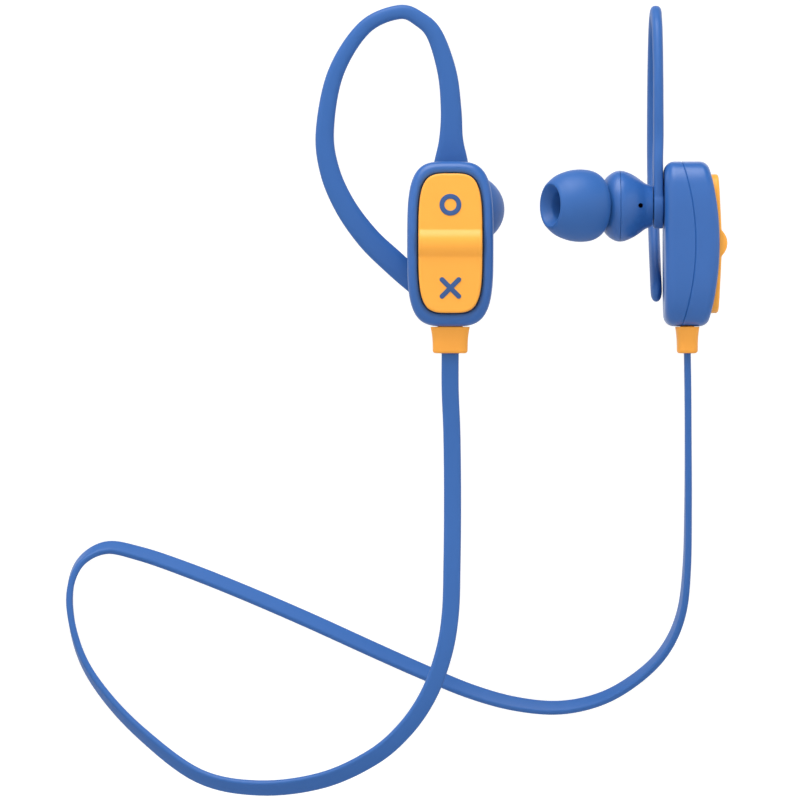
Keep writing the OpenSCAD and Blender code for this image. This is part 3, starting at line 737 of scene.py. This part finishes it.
def key_body():
    half = key_rows()
    full = np.vstack((half, half[-2:0:-1] * (-1, 1)))
    tangent = unit(np.roll(full, -1, axis=0) - np.roll(full, 1, axis=0))
    inward = np.column_stack((tangent[:, 1], -tangent[:, 0]))
    rings = [np.column_stack((full[:, 0], np.full(len(full), -KEY_UNDER), full[:, 1] + key_z))]
    for a in quarter(7):
        flat = full + inward * EDGE_ROUND * (1 - math.cos(a))
        depth = key_depth(flat[:, 1] + key_z) - EDGE_ROUND * (1 - math.sin(a))
        rings.append(np.column_stack((flat[:, 0], -depth, flat[:, 1] + key_z)))
    points, count = np.vstack(rings), len(full)
    faces = [[k * count + i, k * count + (i + 1) % count,
              (k + 1) * count + (i + 1) % count, (k + 1) * count + i]
             for k in range(len(rings) - 1) for i in range(count)]
    faces.append(list(range(count))[::-1])
    rim = (len(rings) - 1) * count
    columns = 12
    rows = [[rim]]
    for j in range(1, len(half) - 1):
        right, left = rings[-1][j], rings[-1][count - j]
        start = len(points)
        inner = np.array([left + (right - left) * c / columns for c in range(1, columns)])
        points = np.vstack((points, inner))
        rows.append([rim + count - j, *range(start, start + columns - 1), rim + j])
    rows.append([rim + len(half) - 1])
    for upper, lower in zip(rows[:-1], rows[1:]):
        if len(upper) == 1:
            faces += [[upper[0], lower[c], lower[c + 1]] for c in range(columns)]
        elif len(lower) == 1:
            faces += [[upper[c], lower[0], upper[c + 1]] for c in range(columns)]
        else:
            faces += [[upper[c], lower[c], lower[c + 1], upper[c + 1]] for c in range(columns)]
    return outward(points, faces)


# %% Signs
SIGN_PROUD = 0.14
SIGN_ROOT = 0.7
SIGN_ROUND = 0.1
RING_R = 1.9
STROKE = 0.85
CROSS_SPAN = 3.75
SEAM = 0.02
ring_z = key_z + 6.65
cross_z = key_z - 7.8


def ring_outline(grow, count=64):
    """The ring's outer and inner circle, made fatter by grow."""
    t = np.linspace(0, 2 * np.pi, count, endpoint=False)
    circle = np.column_stack((np.sin(t), np.cos(t)))
    return circle * (RING_R + grow), circle * (RING_R - STROKE - grow)


def cross_outline(grow):
    """A cross of four round-ended arms, made fatter by grow."""
    half = STROKE / 2 + grow
    reach = (CROSS_SPAN - STROKE) / math.sqrt(2)
    out = []
    for arm in range(4):
        along = math.radians(45 + 90 * arm)
        u, v = np.array([math.cos(along), math.sin(along)]), np.array([-math.sin(along), math.cos(along)])
        out.append(half * (u - v))
        out += [u * (reach + half * math.sin(b)) - v * half * math.cos(b)
                for b in np.radians(np.linspace(0, 180, 15))]
    return np.array(out)


def raised(flat, z0, proud):
    """[x, z] points on the key's sloping face, standing out by proud."""
    depth = key_depth(flat[:, 1] + z0) + proud
    return np.column_stack((flat[:, 0], -depth, flat[:, 1] + z0))


def sign_levels(proud, root, edge):
    """Pairs of how much slimmer and how proud each ring of a sign is, from its root to its rounded edge."""
    return [(0, -root)] + [(-edge * (1 - math.cos(a)), proud - edge * (1 - math.sin(a))) for a in quarter(4)]


def ring_form(grow, proud, root, edge):
    steps = sign_levels(proud, root, edge)
    outer = [raised(ring_outline(grow + g)[0], ring_z, p) for g, p in steps]
    inner = [raised(ring_outline(grow + g)[1], ring_z, p) for g, p in steps[::-1]]
    return loft(outer + inner, join=True)


def cross_form(grow, proud, root, edge):
    return loft([raised(cross_outline(grow + g), cross_z, p) for g, p in sign_levels(proud, root, edge)])


lug = rod((-LUG_W / 2, -pin_depth, key_z), (LUG_W / 2, -pin_depth, key_z), LUG_R)
posts = [rod((0, -KEY_UNDER - 0.5, key_z + z), (0, key_high[1], key_z + z), POST_R)
         for z in (-POST_REACH, POST_REACH)]
cheek_slots = [rod((x - 0.75, -pin_depth, key_z), (x + 0.75, -pin_depth, key_z), LUG_R + 0.5)
               for x in (-LUG_W / 2 - 0.8, LUG_W / 2 + 0.8)]
lug_bore = rod((-3.5, -pin_depth, key_z), (3.5, -pin_depth, key_z), PIN_R + FIT)
key = carve(key_body(), lug, *posts, operation="UNION")
key = carve(key, lug_bore, *cheek_slots, ring_form(SEAM, 1, SIGN_ROOT, 0), cross_form(SEAM, 1, SIGN_ROOT, 0))
pieces_on_both("key", key, "amber_plastic")
pieces_on_both("ring_sign", ring_form(0, SIGN_PROUD, SIGN_ROOT - 0.02, SIGN_ROUND), "sign_plastic")
pieces_on_both("cross_sign", cross_form(0, SIGN_PROUD, SIGN_ROOT - 0.02, SIGN_ROUND), "sign_plastic")

# %% [markdown]
# ## Strain relief
# A soft amber sleeve grips the cable where it leaves the pod, so that the cable doesn't break there. It
# flares where it meets the pod, and its lower end has round corners and a slot that the cable comes out of.

# %% Strain relief
RELIEF_A = 3.05
RELIEF_B = 1.8
FLARE = 0.4
RELIEF_CORNER = 0.5
SLOT_DEPTH = 0.5


def rounded_box(a, b, flat):
    """A rounded rectangle's points, each towards the point of another outline."""
    own = outline(a, b, 5, 720)
    turn = np.arctan2(own[:, 0], own[:, 1])
    order = np.argsort(turn)
    wanted = np.arctan2(flat[:, 0], flat[:, 1])
    reach = np.interp(wanted, turn[order], np.hypot(own[:, 0], own[:, 1])[order], period=2 * np.pi)
    return np.column_stack((np.sin(wanted), np.cos(wanted))) * reach[:, None]


def strain_relief():
    top, bottom = pod_z - pod_b - 0.1, relief_low[2]
    length = top - bottom
    basis = outline(RELIEF_A, RELIEF_B, 4, 96)

    def at(flat, z):
        return np.column_stack((flat[:, 0], flat[:, 1] + relief_y, np.full(len(flat), z)))

    flange_z = top + WALL + 0.4
    rings = [at(rounded_box(NECK_W / 2 + 0.7, NECK_T / 2 + 0.45, basis), z)
             for z in (flange_z + 0.9, flange_z)]
    rings += [at(rounded_box(NECK_W / 2, NECK_T / 2, basis), z) for z in (flange_z, top)]
    rings.append(at(outline(RELIEF_A + FLARE - 0.08, RELIEF_B + FLARE * 0.75 - 0.08, 4, 96), top))
    for s in np.linspace(0.015, 1 - RELIEF_CORNER / length, 16):
        flare = (1 - s) ** 3 * FLARE
        rings.append(at(outline(RELIEF_A + flare, RELIEF_B + flare * 0.75, 4, 96), top - s * length))
    for a in quarter(6)[1:]:
        shrink = RELIEF_CORNER * (1 - math.cos(a))
        rings.append(at(outline(RELIEF_A - shrink, RELIEF_B - shrink, 4, 96),
                        bottom + RELIEF_CORNER * (1 - math.sin(a))))
    slot_a, slot_b = CABLE_WIDTH / MM / 2, CABLE_THICKNESS / MM / 2
    rings += [at(rounded_box(slot_a + g, slot_b + g, basis), z)
              for g, z in ((0.16, bottom), (0.06, bottom + 0.1), (0.06, bottom + SLOT_DEPTH))]
    return loft(rings)


pieces_on_both("strain_relief", strain_relief(), "amber_rubber")

# %% [markdown]
# ## Driver housing
# The bulb behind the ear tip holds the driver. It is turned about the stem's axis: a lathe profile for the
# pod side with its neck and stem, and one for the dome on the ear side. A fine groove marks the glued seam,
# and a pinhole near the neck lets the driver breathe.

# %% Lathes


def lathe(profile, origin=(0, 0, 0), axis=(0, 1, 0), count=96, join=True):
    """A form turned from [radius, along] points about an axis."""
    axis = unit(np.array(axis, float))
    u = unit(np.cross(axis, (0, 0, 1)))
    v = np.cross(axis, u)
    t = np.linspace(0, 2 * np.pi, count, endpoint=False)[:, None]
    spoke = np.cos(t) * u + np.sin(t) * v
    return loft([np.array(origin) + axis * along + spoke * radius for radius, along in profile], join)


def softened(corners, steps=5):
    """[x, y, radius] corners as a closed line of points whose corners are rounded off by their radius."""
    out = []
    for i, (x, y, radius) in enumerate(corners):
        here = np.array([x, y])
        before, after = np.array(corners[i - 1][:2]), np.array(corners[(i + 1) % len(corners)][:2])
        if not radius:
            out.append(here)
            continue
        start = here + unit(before - here) * min(radius, 0.45 * np.linalg.norm(before - here))
        end = here + unit(after - here) * min(radius, 0.45 * np.linalg.norm(after - here))
        for t in np.linspace(0, 1, steps + 1):
            out.append(start * (1 - t) ** 2 + here * 2 * t * (1 - t) + end * t**2)
    return out


# %% Driver housing, pod side
bulb_low, bulb_high = span("right_driver_rear_housing")
BULB_R = bulb_high[0]
SEAM_Y = bulb_high[1]
STEM_R = 2.25
STEM_END = bulb_low[1]
NECK_R = 3.5
NECK_Y = 2.0
SEAT_R = 5.05
LEAD_R = 1.4
VENT_R = 0.42
SEAM_GROOVE = 0.07
BULB_LINE = [[0, 0], [0.21, 0.17], [0.37, 0.41], [0.5, 0.6], [0.64, 0.77], [0.78, 0.9], [0.9, 0.975], [1, 1]]


def driver_rear_housing():
    swell = through(BULB_LINE, 6)
    outside = [(NECK_R + p[1] * (BULB_R - NECK_R), NECK_Y + p[0] * (SEAM_Y - NECK_Y)) for p in swell]
    outside[-1] = (BULB_R - 0.005, SEAM_Y - SEAM_GROOVE)
    outside.append((BULB_R - SEAM_GROOVE, SEAM_Y - 0.012))
    profile = [(LEAD_R, STEM_END), (STEM_R, STEM_END), (STEM_R, NECK_Y - 0.02),
               (NECK_R - 0.15, NECK_Y - 0.02),
               *outside, (SEAT_R, SEAM_Y - 0.012), (SEAT_R, SEAM_Y - 1.75), (SEAT_R - 0.6, SEAM_Y - 1.75),
               (NECK_R - 0.8, NECK_Y + 1.3), (LEAD_R, NECK_Y + 0.9)]
    vent_y = NECK_Y + 0.37 * (SEAM_Y - NECK_Y) + 0.1
    vent = rod((0, vent_y, 0), (BULB_R + 1, vent_y, 0), VENT_R, 32)
    return carve(lathe(profile, count=128), vent)


pieces_on_both("driver_rear_housing", driver_rear_housing(), "blue_plastic", 40)

# %% Driver housing, ear side
NOZZLE_Y = SEAM_Y + 0.85
TILT = math.radians(27)
nozzle_axis = np.array([math.sin(TILT), math.cos(TILT), 0])
nozzle_root = np.array([0, NOZZLE_Y, 0])
DOME_H = 3.9
NOZZLE_R = 2.1
NOZZLE_BORE_R = 1.5
NOZZLE_L = 9.6
BARB_R = 2.4
MESH_R = 1.75
MESH_T = 0.3


def driver_front_housing():
    dome = [(BULB_R * math.cos(a) ** 0.85, SEAM_Y + DOME_H * math.sin(a) ** 1.1) for a in quarter(24)]
    dome[0] = (BULB_R, SEAM_Y + SEAM_GROOVE)
    inside = [((SEAT_R - 0.3) * math.cos(a), SEAM_Y + 0.55 + (DOME_H - 0.9 - 0.55) * math.sin(a))
              for a in quarter(12)[::-1]]
    profile = [(BULB_R - SEAM_GROOVE, SEAM_Y + 0.012), *dome[:-1], (0, SEAM_Y + DOME_H), *inside[:-1],
               (SEAT_R, SEAM_Y + 0.55), (SEAT_R, SEAM_Y + 0.012)]
    shell = lathe(profile, count=128)
    tube = softened([[0, 1.5, 0], [NOZZLE_R, 1.5, 0], [NOZZLE_R, NOZZLE_L - 2, 0.1],
                     [BARB_R, NOZZLE_L - 1.5, 0.12],
                     [BARB_R, NOZZLE_L - 1, 0.15], [NOZZLE_R, NOZZLE_L, 0.1], [0, NOZZLE_L, 0]])
    stub = lathe(tube, nozzle_root, nozzle_axis, 72)
    whole = carve(shell, stub, operation="UNION")
    bore = rod(nozzle_root, nozzle_root + nozzle_axis * (NOZZLE_L + 1), NOZZLE_BORE_R, 56)
    seat = rod(nozzle_root + nozzle_axis * (NOZZLE_L - MESH_T),
               nozzle_root + nozzle_axis * (NOZZLE_L + 1), MESH_R, 56)
    return carve(whole, bore, seat)


pieces_on_both("driver_front_housing", driver_front_housing(), "blue_plastic", 40)

# %% [markdown]
# ## Ear tip
# The tip is one soft skin: a core tube that grips the nozzle's barb, and a thin skirt that folds back from
# its mouth like a mushroom's cap. The skin goes from the rim over the dome to the mouth, down the core and
# back inside the skirt, all turned about the nozzle's axis.

# %% Ear tip
TIP_START = 3.8
TIP_L = 9.0
TIP_R = 6.3
TIP_BORE_R = BARB_R + FIT
TIP_CORE = 0.75
TIP_SKIRT = 0.6
TIP_LINE = [[0, 0.86], [0.05, 0.915], [0.13, 0.965], [0.24, 0.993], [0.38, 1], [0.52, 0.98], [0.66, 0.93],
            [0.78, 0.865], [0.87, 0.79], [0.94, 0.71], [0.98, 0.66], [1, 0.61]]


def ear_tip():
    skin = through(TIP_LINE, 5)
    outside = np.column_stack((skin[:, 1] * TIP_R, skin[:, 0] * TIP_L))
    tangent = ways(outside)
    inside = outside + np.column_stack((-tangent[:, 1], tangent[:, 0])) * TIP_SKIRT
    inside = inside[(inside[:, 1] < TIP_L * 0.73) & (inside[:, 1] > TIP_SKIRT * 0.3)][::-1]
    rim = (outside[0] + inside[-1]) / 2 - (0.05, 0.27)
    mouth = [(TIP_R * 0.585, TIP_L * 1.001), (TIP_R * 0.56, TIP_L * 0.99), (TIP_R * 0.54, TIP_L * 0.965),
             (TIP_BORE_R + 0.12, TIP_L * 0.84), (TIP_BORE_R, TIP_L * 0.8)]
    core = [(TIP_BORE_R, 0.6), (TIP_BORE_R + 0.1, 0.5), (TIP_BORE_R + TIP_CORE - 0.1, 0.5),
            (TIP_BORE_R + TIP_CORE, 0.6), (TIP_BORE_R + TIP_CORE, TIP_L * 0.7),
            (TIP_BORE_R + TIP_CORE + 0.15, TIP_L * 0.74)]
    profile = [*outside, *mouth, *core, *inside, tuple(rim)]
    origin = nozzle_root + nozzle_axis * TIP_START
    return lathe(profile, origin, nozzle_axis, 112)


pieces_on_both("ear_tip", ear_tip(), "blue_silicone", 50)

# %% [markdown]
# ## Ear hook
# The hook goes up from the stem, over the ear and down behind it. It is a soft bar whose section narrows over
# the top and widens again at its end, and it grows out of a ring that turns on the stem. The bar is swept
# through listed stations of width and thickness and joined to the ring before the stem's bore is cut.

# %% Ear hook
HUB_R = 3.9
HUB_Y = 0.15
HUB_H = 1.65
HOOK_STEPS = 9
HOOK_SIDES = 32
WIRE_R = 0.42
# [x, z, y, width, thickness]
hook_line = [
    [0, 0, 1, 7.4, 1.65], [0.1, 3.8, 1, 6.8, 1.7], [0.2, 7.7, 1.05, 6, 1.75], [0.2, 12, 0.95, 4.2, 1.8],
    [0.2, 17, 0.95, 3.65, 1.8], [-0.5, 23.5, 0.95, 3.35, 1.8], [-2.6, 30, 1, 2.9, 1.85],
    [-5.2, 32.8, 1.05, 2.65, 1.9], [-8.9, 34.15, 1.1, 2.5, 2], [-15, 31.4, 1.15, 2.6, 2],
    [-20, 23.5, 1.15, 2.85, 2], [-21.9, 13.5, 1.15, 3.2, 2], [-21.1, 6.5, 1.15, 3.5, 2],
    [-18.4, 0.2, 1.15, 3.8, 2], [-14.35, -5.4, 1.15, 4.1, 2], [-10, -9.6, 1.15, 4.3, 2],
    [-6.2, -13, 1.15, 4.2, 2], [-4.3, -14.6, 1.15, 4, 2]]


def hook_section(place, way, width, thickness, sides=HOOK_SIDES, n=2.4):
    """A rounded section across the bar at [x, z, y]."""
    t = np.linspace(0, 2 * np.pi, sides, endpoint=False)
    u = width / 2 * np.sign(np.cos(t)) * np.abs(np.cos(t)) ** (2 / n)
    v = thickness / 2 * np.sign(np.sin(t)) * np.abs(np.sin(t)) ** (2 / n)
    return np.column_stack((place[0] + u * way[1], place[2] + v, place[1] - u * way[0]))


def hook_bar():
    line = through(hook_line, HOOK_STEPS)
    way = ways(line[:, :2])
    first = 4
    squareness = np.interp(np.arange(first, len(line)), (0, 2 * HOOK_STEPS, 5 * HOOK_STEPS), (9, 5, 2.4))
    rings = [hook_section(s[:3], w, s[3], s[4], n=n)
             for s, w, n in zip(line[first:], way[first:], squareness)]
    end, w = line[-1], way[-1]
    for a in np.radians((12, 25, 38, 50, 61, 71, 80, 86)):
        reach = math.sin(a) * end[3] / 2
        place = (end[0] + w[0] * reach, end[1] + w[1] * reach, end[2])
        rings.append(hook_section(place, w, end[3] * math.cos(a), end[4] * math.cos(a)))
    return loft(rings)


def wire_channel():
    line = through(hook_line, 3)
    way = ways(line[:, :2])
    return loft([hook_section(s[:3], w, 2 * WIRE_R, 2 * WIRE_R, 10, 2)
                 for s, w in zip(line[4:-1], way[4:-1])])


hub = lathe(softened([[0.5, HUB_Y, 0], [HUB_R, HUB_Y, 0.3],
                      [HUB_R, HUB_Y + HUB_H, 0.3], [0.5, HUB_Y + HUB_H, 0]]), count=112)
hub_core = rod((0, HUB_Y + 0.05, 0), (0, HUB_Y + HUB_H - 0.05, 0), 1.5)
stem_bore = rod((0, -1, 0), (0, 3, 0), STEM_R + FIT, 72)
hook = carve(hook_bar(), hub, hub_core, operation="UNION")
hook = carve(hook, stem_bore, wire_channel())
pieces_on_both("ear_hook", hook, "blue_silicone", 42)

# %% [markdown]
# ## Nozzle mesh
# A fine woven screen keeps wax out of the nozzle. Geometry Nodes weave it: one bent wire is repeated across
# the disc at a named pitch, each cut to the disc's chord, and a second set is turned a quarter turn with its
# waves the other way up. The number of wires stays low because there are only a few dozen faces on each.

# %% Nozzle mesh


def weave_tree():
    tree, add = new_tree("woven_screen", [
        ("Radius", FLOAT, 0.0017), ("Pitch", FLOAT, 0.0003), ("Wire Radius", FLOAT, 0.00005),
        ("Finish", "NodeSocketMaterial", None)])
    given = add("NodeGroupInput")

    def maths(operation, first, second=0.0):
        return add("ShaderNodeMath", {"operation": operation}, {0: first, 1: second})[0]

    def one_set(phase):
        count = maths("ADD", maths("FLOOR", maths("DIVIDE", given["Radius"], given["Pitch"])), 0.0)
        total = maths("ADD", maths("MULTIPLY", count, 2.0), 1.0)
        start = add("ShaderNodeCombineXYZ", {},
                    {0: maths("MULTIPLY", maths("MULTIPLY", count, given["Pitch"]), -1.0)})[0]
        step = add("ShaderNodeCombineXYZ", {}, {0: given["Pitch"]})[0]
        row = add("GeometryNodeMeshLine", {},
                  {"Count": total, "Start Location": start, "Offset": step})["Mesh"]
        straight = add("GeometryNodeCurvePrimitiveLine", {}, {"Start": (0, -1, 0), "End": (0, 1, 0)})["Curve"]
        straight = add("GeometryNodeResampleCurve", {}, {"Curve": straight, "Count": 36})["Curve"]
        placed = add("GeometryNodeInstanceOnPoints", {}, {"Points": row, "Instance": straight})["Instances"]
        x = add("ShaderNodeSeparateXYZ", {}, {0: add("GeometryNodeInputPosition")[0]})
        room = maths("SUBTRACT", maths("MULTIPLY", given["Radius"], given["Radius"]),
                     maths("MULTIPLY", x[0], x[0]))
        chord = maths("SQRT", maths("MAXIMUM", room, 1e-9))
        size = add("ShaderNodeCombineXYZ", {}, {0: 1.0, 1: chord, 2: 1.0})[0]
        placed = add("GeometryNodeScaleInstances", {}, {"Instances": placed, "Scale": size})["Instances"]
        wires = add("GeometryNodeRealizeInstances", {}, {"Geometry": placed})["Geometry"]
        place = add("ShaderNodeSeparateXYZ", {}, {0: add("GeometryNodeInputPosition")[0]})
        turns = [maths("MULTIPLY", maths("DIVIDE", place[i], given["Pitch"]), math.pi) for i in (0, 1)]
        wave = maths("MULTIPLY", maths("COSINE", turns[0]), maths("COSINE", turns[1]))
        lift = maths("MULTIPLY", maths("MULTIPLY", wave, given["Wire Radius"]), phase)
        offset = add("ShaderNodeCombineXYZ", {}, {2: lift})[0]
        bent = add("GeometryNodeSetPosition", {}, {"Geometry": wires, "Offset": offset})["Geometry"]
        section = add("GeometryNodeCurvePrimitiveCircle", {},
                      {"Resolution": 5, "Radius": given["Wire Radius"]})["Curve"]
        return add("GeometryNodeCurveToMesh", {},
                   {"Curve": bent, "Profile Curve": section, "Fill Caps": True})["Mesh"]

    turned = add("GeometryNodeTransform", {},
                 {"Geometry": one_set(-1.0), "Rotation": (0, 0, math.pi / 2)})["Geometry"]
    join = tree.nodes.new("GeometryNodeJoinGeometry")
    for part in (one_set(1.0), turned):
        tree.links.new(part, join.inputs[0])
    whole = add("GeometryNodeRealizeInstances", {}, {"Geometry": join.outputs[0]})["Geometry"]
    painted = add("GeometryNodeSetMaterial", {}, {"Geometry": whole, "Material": given["Finish"]})["Geometry"]
    add("NodeGroupOutput", {}, {"Geometry": painted})
    return tree


def nozzle_screen():
    """The woven disc with its pressed rim, as a form on the right nozzle."""
    obj = bpy.data.objects.new("screen", bpy.data.meshes.new("screen"))
    scene.collection.objects.link(obj)
    grow(obj, weave_tree(), Radius=(MESH_R - 0.1) * MM, Pitch=0.24 * MM, Wire_Radius=0.045 * MM,
         Finish=finishes["mesh_metal"])
    points = np.array([v.co for v in obj.data.vertices], float).reshape(-1, 3) / MM
    faces = [list(p.vertices) for p in obj.data.polygons]
    bpy.data.objects.remove(obj)
    sideways = np.array([nozzle_axis[1], -nozzle_axis[0], 0])
    centre = nozzle_root + nozzle_axis * (NOZZLE_L - MESH_T / 2)
    points = (centre + points[:, :1] * sideways + points[:, 1:2] * np.array([0, 0, -1])
              + points[:, 2:] * nozzle_axis)
    rim_points, rim_faces = lathe([(MESH_R - 0.2, -0.1), (MESH_R - 0.03, -0.13),
                                   (MESH_R - 0.03, 0.13), (MESH_R - 0.2, 0.1)],
                                  centre, nozzle_axis, 48)
    shift = len(points)
    return np.vstack((points, rim_points)), faces + [[i + shift for i in face] for face in rim_faces]


pieces_on_both("nozzle_mesh", nozzle_screen(), "mesh_metal", 60)

# %% [markdown]
# ## Charging flap
# A soft flap closes the charging socket on the right pod's rear edge. Its face is flush with the pod, its
# corners are round, and a small groove near its top is for a fingernail.

# %% Charging flap


def plate(x_back, x_front, a, b, edge):
    """A plate in the y-z plane whose front edge is rounded over."""
    rings = []
    for inset, x in [(0, x_back)] + [(edge * (1 - math.cos(t)), x_front + edge * (1 - math.sin(t)))
                                     for t in quarter(5)]:
        flat = outline(a - inset, b - inset, 7, 72)
        rings.append(np.column_stack((np.full(72, x), flat[:, 0] + port_y, flat[:, 1] + port_z)))
    return loft(rings)


flap_back = flap_high[0]
flap = plate(flap_back, -pod_a, flap_t / 2, flap_w / 2, 0.15)
groove_z = port_z + flap_w / 2 - 1.2
nail_groove = rod((-pod_a - 0.25, port_y - 1, groove_z), (-pod_a - 0.25, port_y + 1, groove_z), 0.5)
right_flap = bpy.data.objects.new("right_usb_flap_looks",
                                  mesh_of("usb_flap", carve(flap, nail_groove), "right", MM))
scene.collection.objects.link(right_flap)
settle(right_flap, "blue_silicone", "right_usb_flap", "usb_cover", 40)

# %% [markdown]
# ## Inside pieces
# The boards, switches, driver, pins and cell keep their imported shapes, because the shells hide them. Each
# takes the finish that the record names for it.

# %% Finishes of the inside pieces
slot_of = {part["node"]: part["material_slot"] for part in frame["record"]["subparts"]}
inside_nodes = sorted(name for name, node in frame["nodes"].items() if not node.hide_render)
for name in inside_nodes:
    node = frame["nodes"][name]
    node.data.materials.clear()
    node.data.materials.append(finishes[slot_of[name]])
print("inside pieces", inside_nodes)

# %% [markdown]
# ## Studio
# The earphones float in a round cove. It is grey near them and glows white further off, so the background is
# white while little of its glow reaches the object. A broad soft light from above and weaker ones from the
# sides and the back make faces that look up lighter. The cove and lights aren't part of the object.

# %% Cove, lights and world
FLOOR_Z = -160
COVE_FLAT = 2600  # radius of the flat floor
COVE_ROUND = 900  # radius of the bend up to the wall
COVE_TOP = 2600
COVE_SIDES = 96
GLOW_START = 0.3  # metres from the middle, where the glow begins
GLOW_FULL = 1.05  # metres from the middle, where it is full
cove_profile = [(0, FLOOR_Z), (COVE_FLAT, FLOOR_Z)]
cove_profile += [(COVE_FLAT + COVE_ROUND * math.sin(a), FLOOR_Z + COVE_ROUND * (1 - math.cos(a)))
                 for a in quarter(16)[1:]]
cove_profile.append((COVE_FLAT + COVE_ROUND, COVE_TOP))
t = np.linspace(0, 2 * np.pi, COVE_SIDES, endpoint=False)
cove_points = np.vstack([np.column_stack((r * np.cos(t), r * np.sin(t), np.full(COVE_SIDES, z)))
                         for r, z in cove_profile])
cove_faces = [[k * COVE_SIDES + i, k * COVE_SIDES + (i + 1) % COVE_SIDES,
               (k + 1) * COVE_SIDES + (i + 1) % COVE_SIDES, (k + 1) * COVE_SIDES + i]
              for k in range(len(cove_profile) - 1) for i in range(COVE_SIDES)]
cove_mesh = bpy.data.meshes.new("cove")
cove_mesh.from_pydata((cove_points * MM).tolist(), [], cove_faces)
cove = bpy.data.objects.new("cove", cove_mesh)
scene.collection.objects.link(cove)
cove_mesh.shade_smooth()
cove_finish, cove_shader, cove_start = new_finish("cove", Roughness=0.9, Emission_Strength=0.60)
feed(cove_shader, "Base Color",
     shade(cove_start, noise(cove_start, 0.8), (0.61, 0.61, 0.61), (0.63, 0.63, 0.63)))
spot = cove_start.node("ShaderNodeTexCoord", output="Object")
reach = cove_start.node("ShaderNodeVectorMath", {"operation": "LENGTH"}, {0: spot}, output="Value")
far_off = cove_start.node("ShaderNodeMapRange", {"interpolation_type": "SMOOTHSTEP"},
                          {"Value": reach, "From Min": GLOW_START, "From Max": GLOW_FULL})
feed(cove_shader, "Emission Color", shade(cove_start, far_off, (0, 0, 0), (1, 1, 1)))
cove_shader.inputs["Specular IOR Level"].default_value = 0.1
cove_mesh.materials.append(cove_finish)


def soft_light(name, place, size, power):
    """A square area light aimed at the middle of the object."""
    data = bpy.data.lights.new(name, "AREA")
    data.shape = "SQUARE"
    data.size = size
    data.energy = power
    light = bpy.data.objects.new(name, data)
    light.location = place
    aim = Vector((-0.01, 0, -0.03)) - Vector(place)
    light.rotation_euler = aim.to_track_quat("-Z", "Y").to_euler()
    scene.collection.objects.link(light)
    return light


lights = [
    soft_light("top", (-0.15, -0.3, 0.9), 0.8, 11),
    soft_light("left_side", (-1.0, -0.7, 0.35), 0.7, 0.5),
    soft_light("right_side", (1.0, -0.6, 0.3), 0.7, 0.5),
    soft_light("back", (0.2, 1.1, 0.5), 0.7, 0.6),
]
world = bpy.data.worlds.new("studio")
world.use_nodes = True
world.node_tree.nodes["Background"].inputs["Color"].default_value = (1, 1, 1, 1)
world.node_tree.nodes["Background"].inputs["Strength"].default_value = 0.2
scene.world = world
scene.view_settings.view_transform = "Standard"
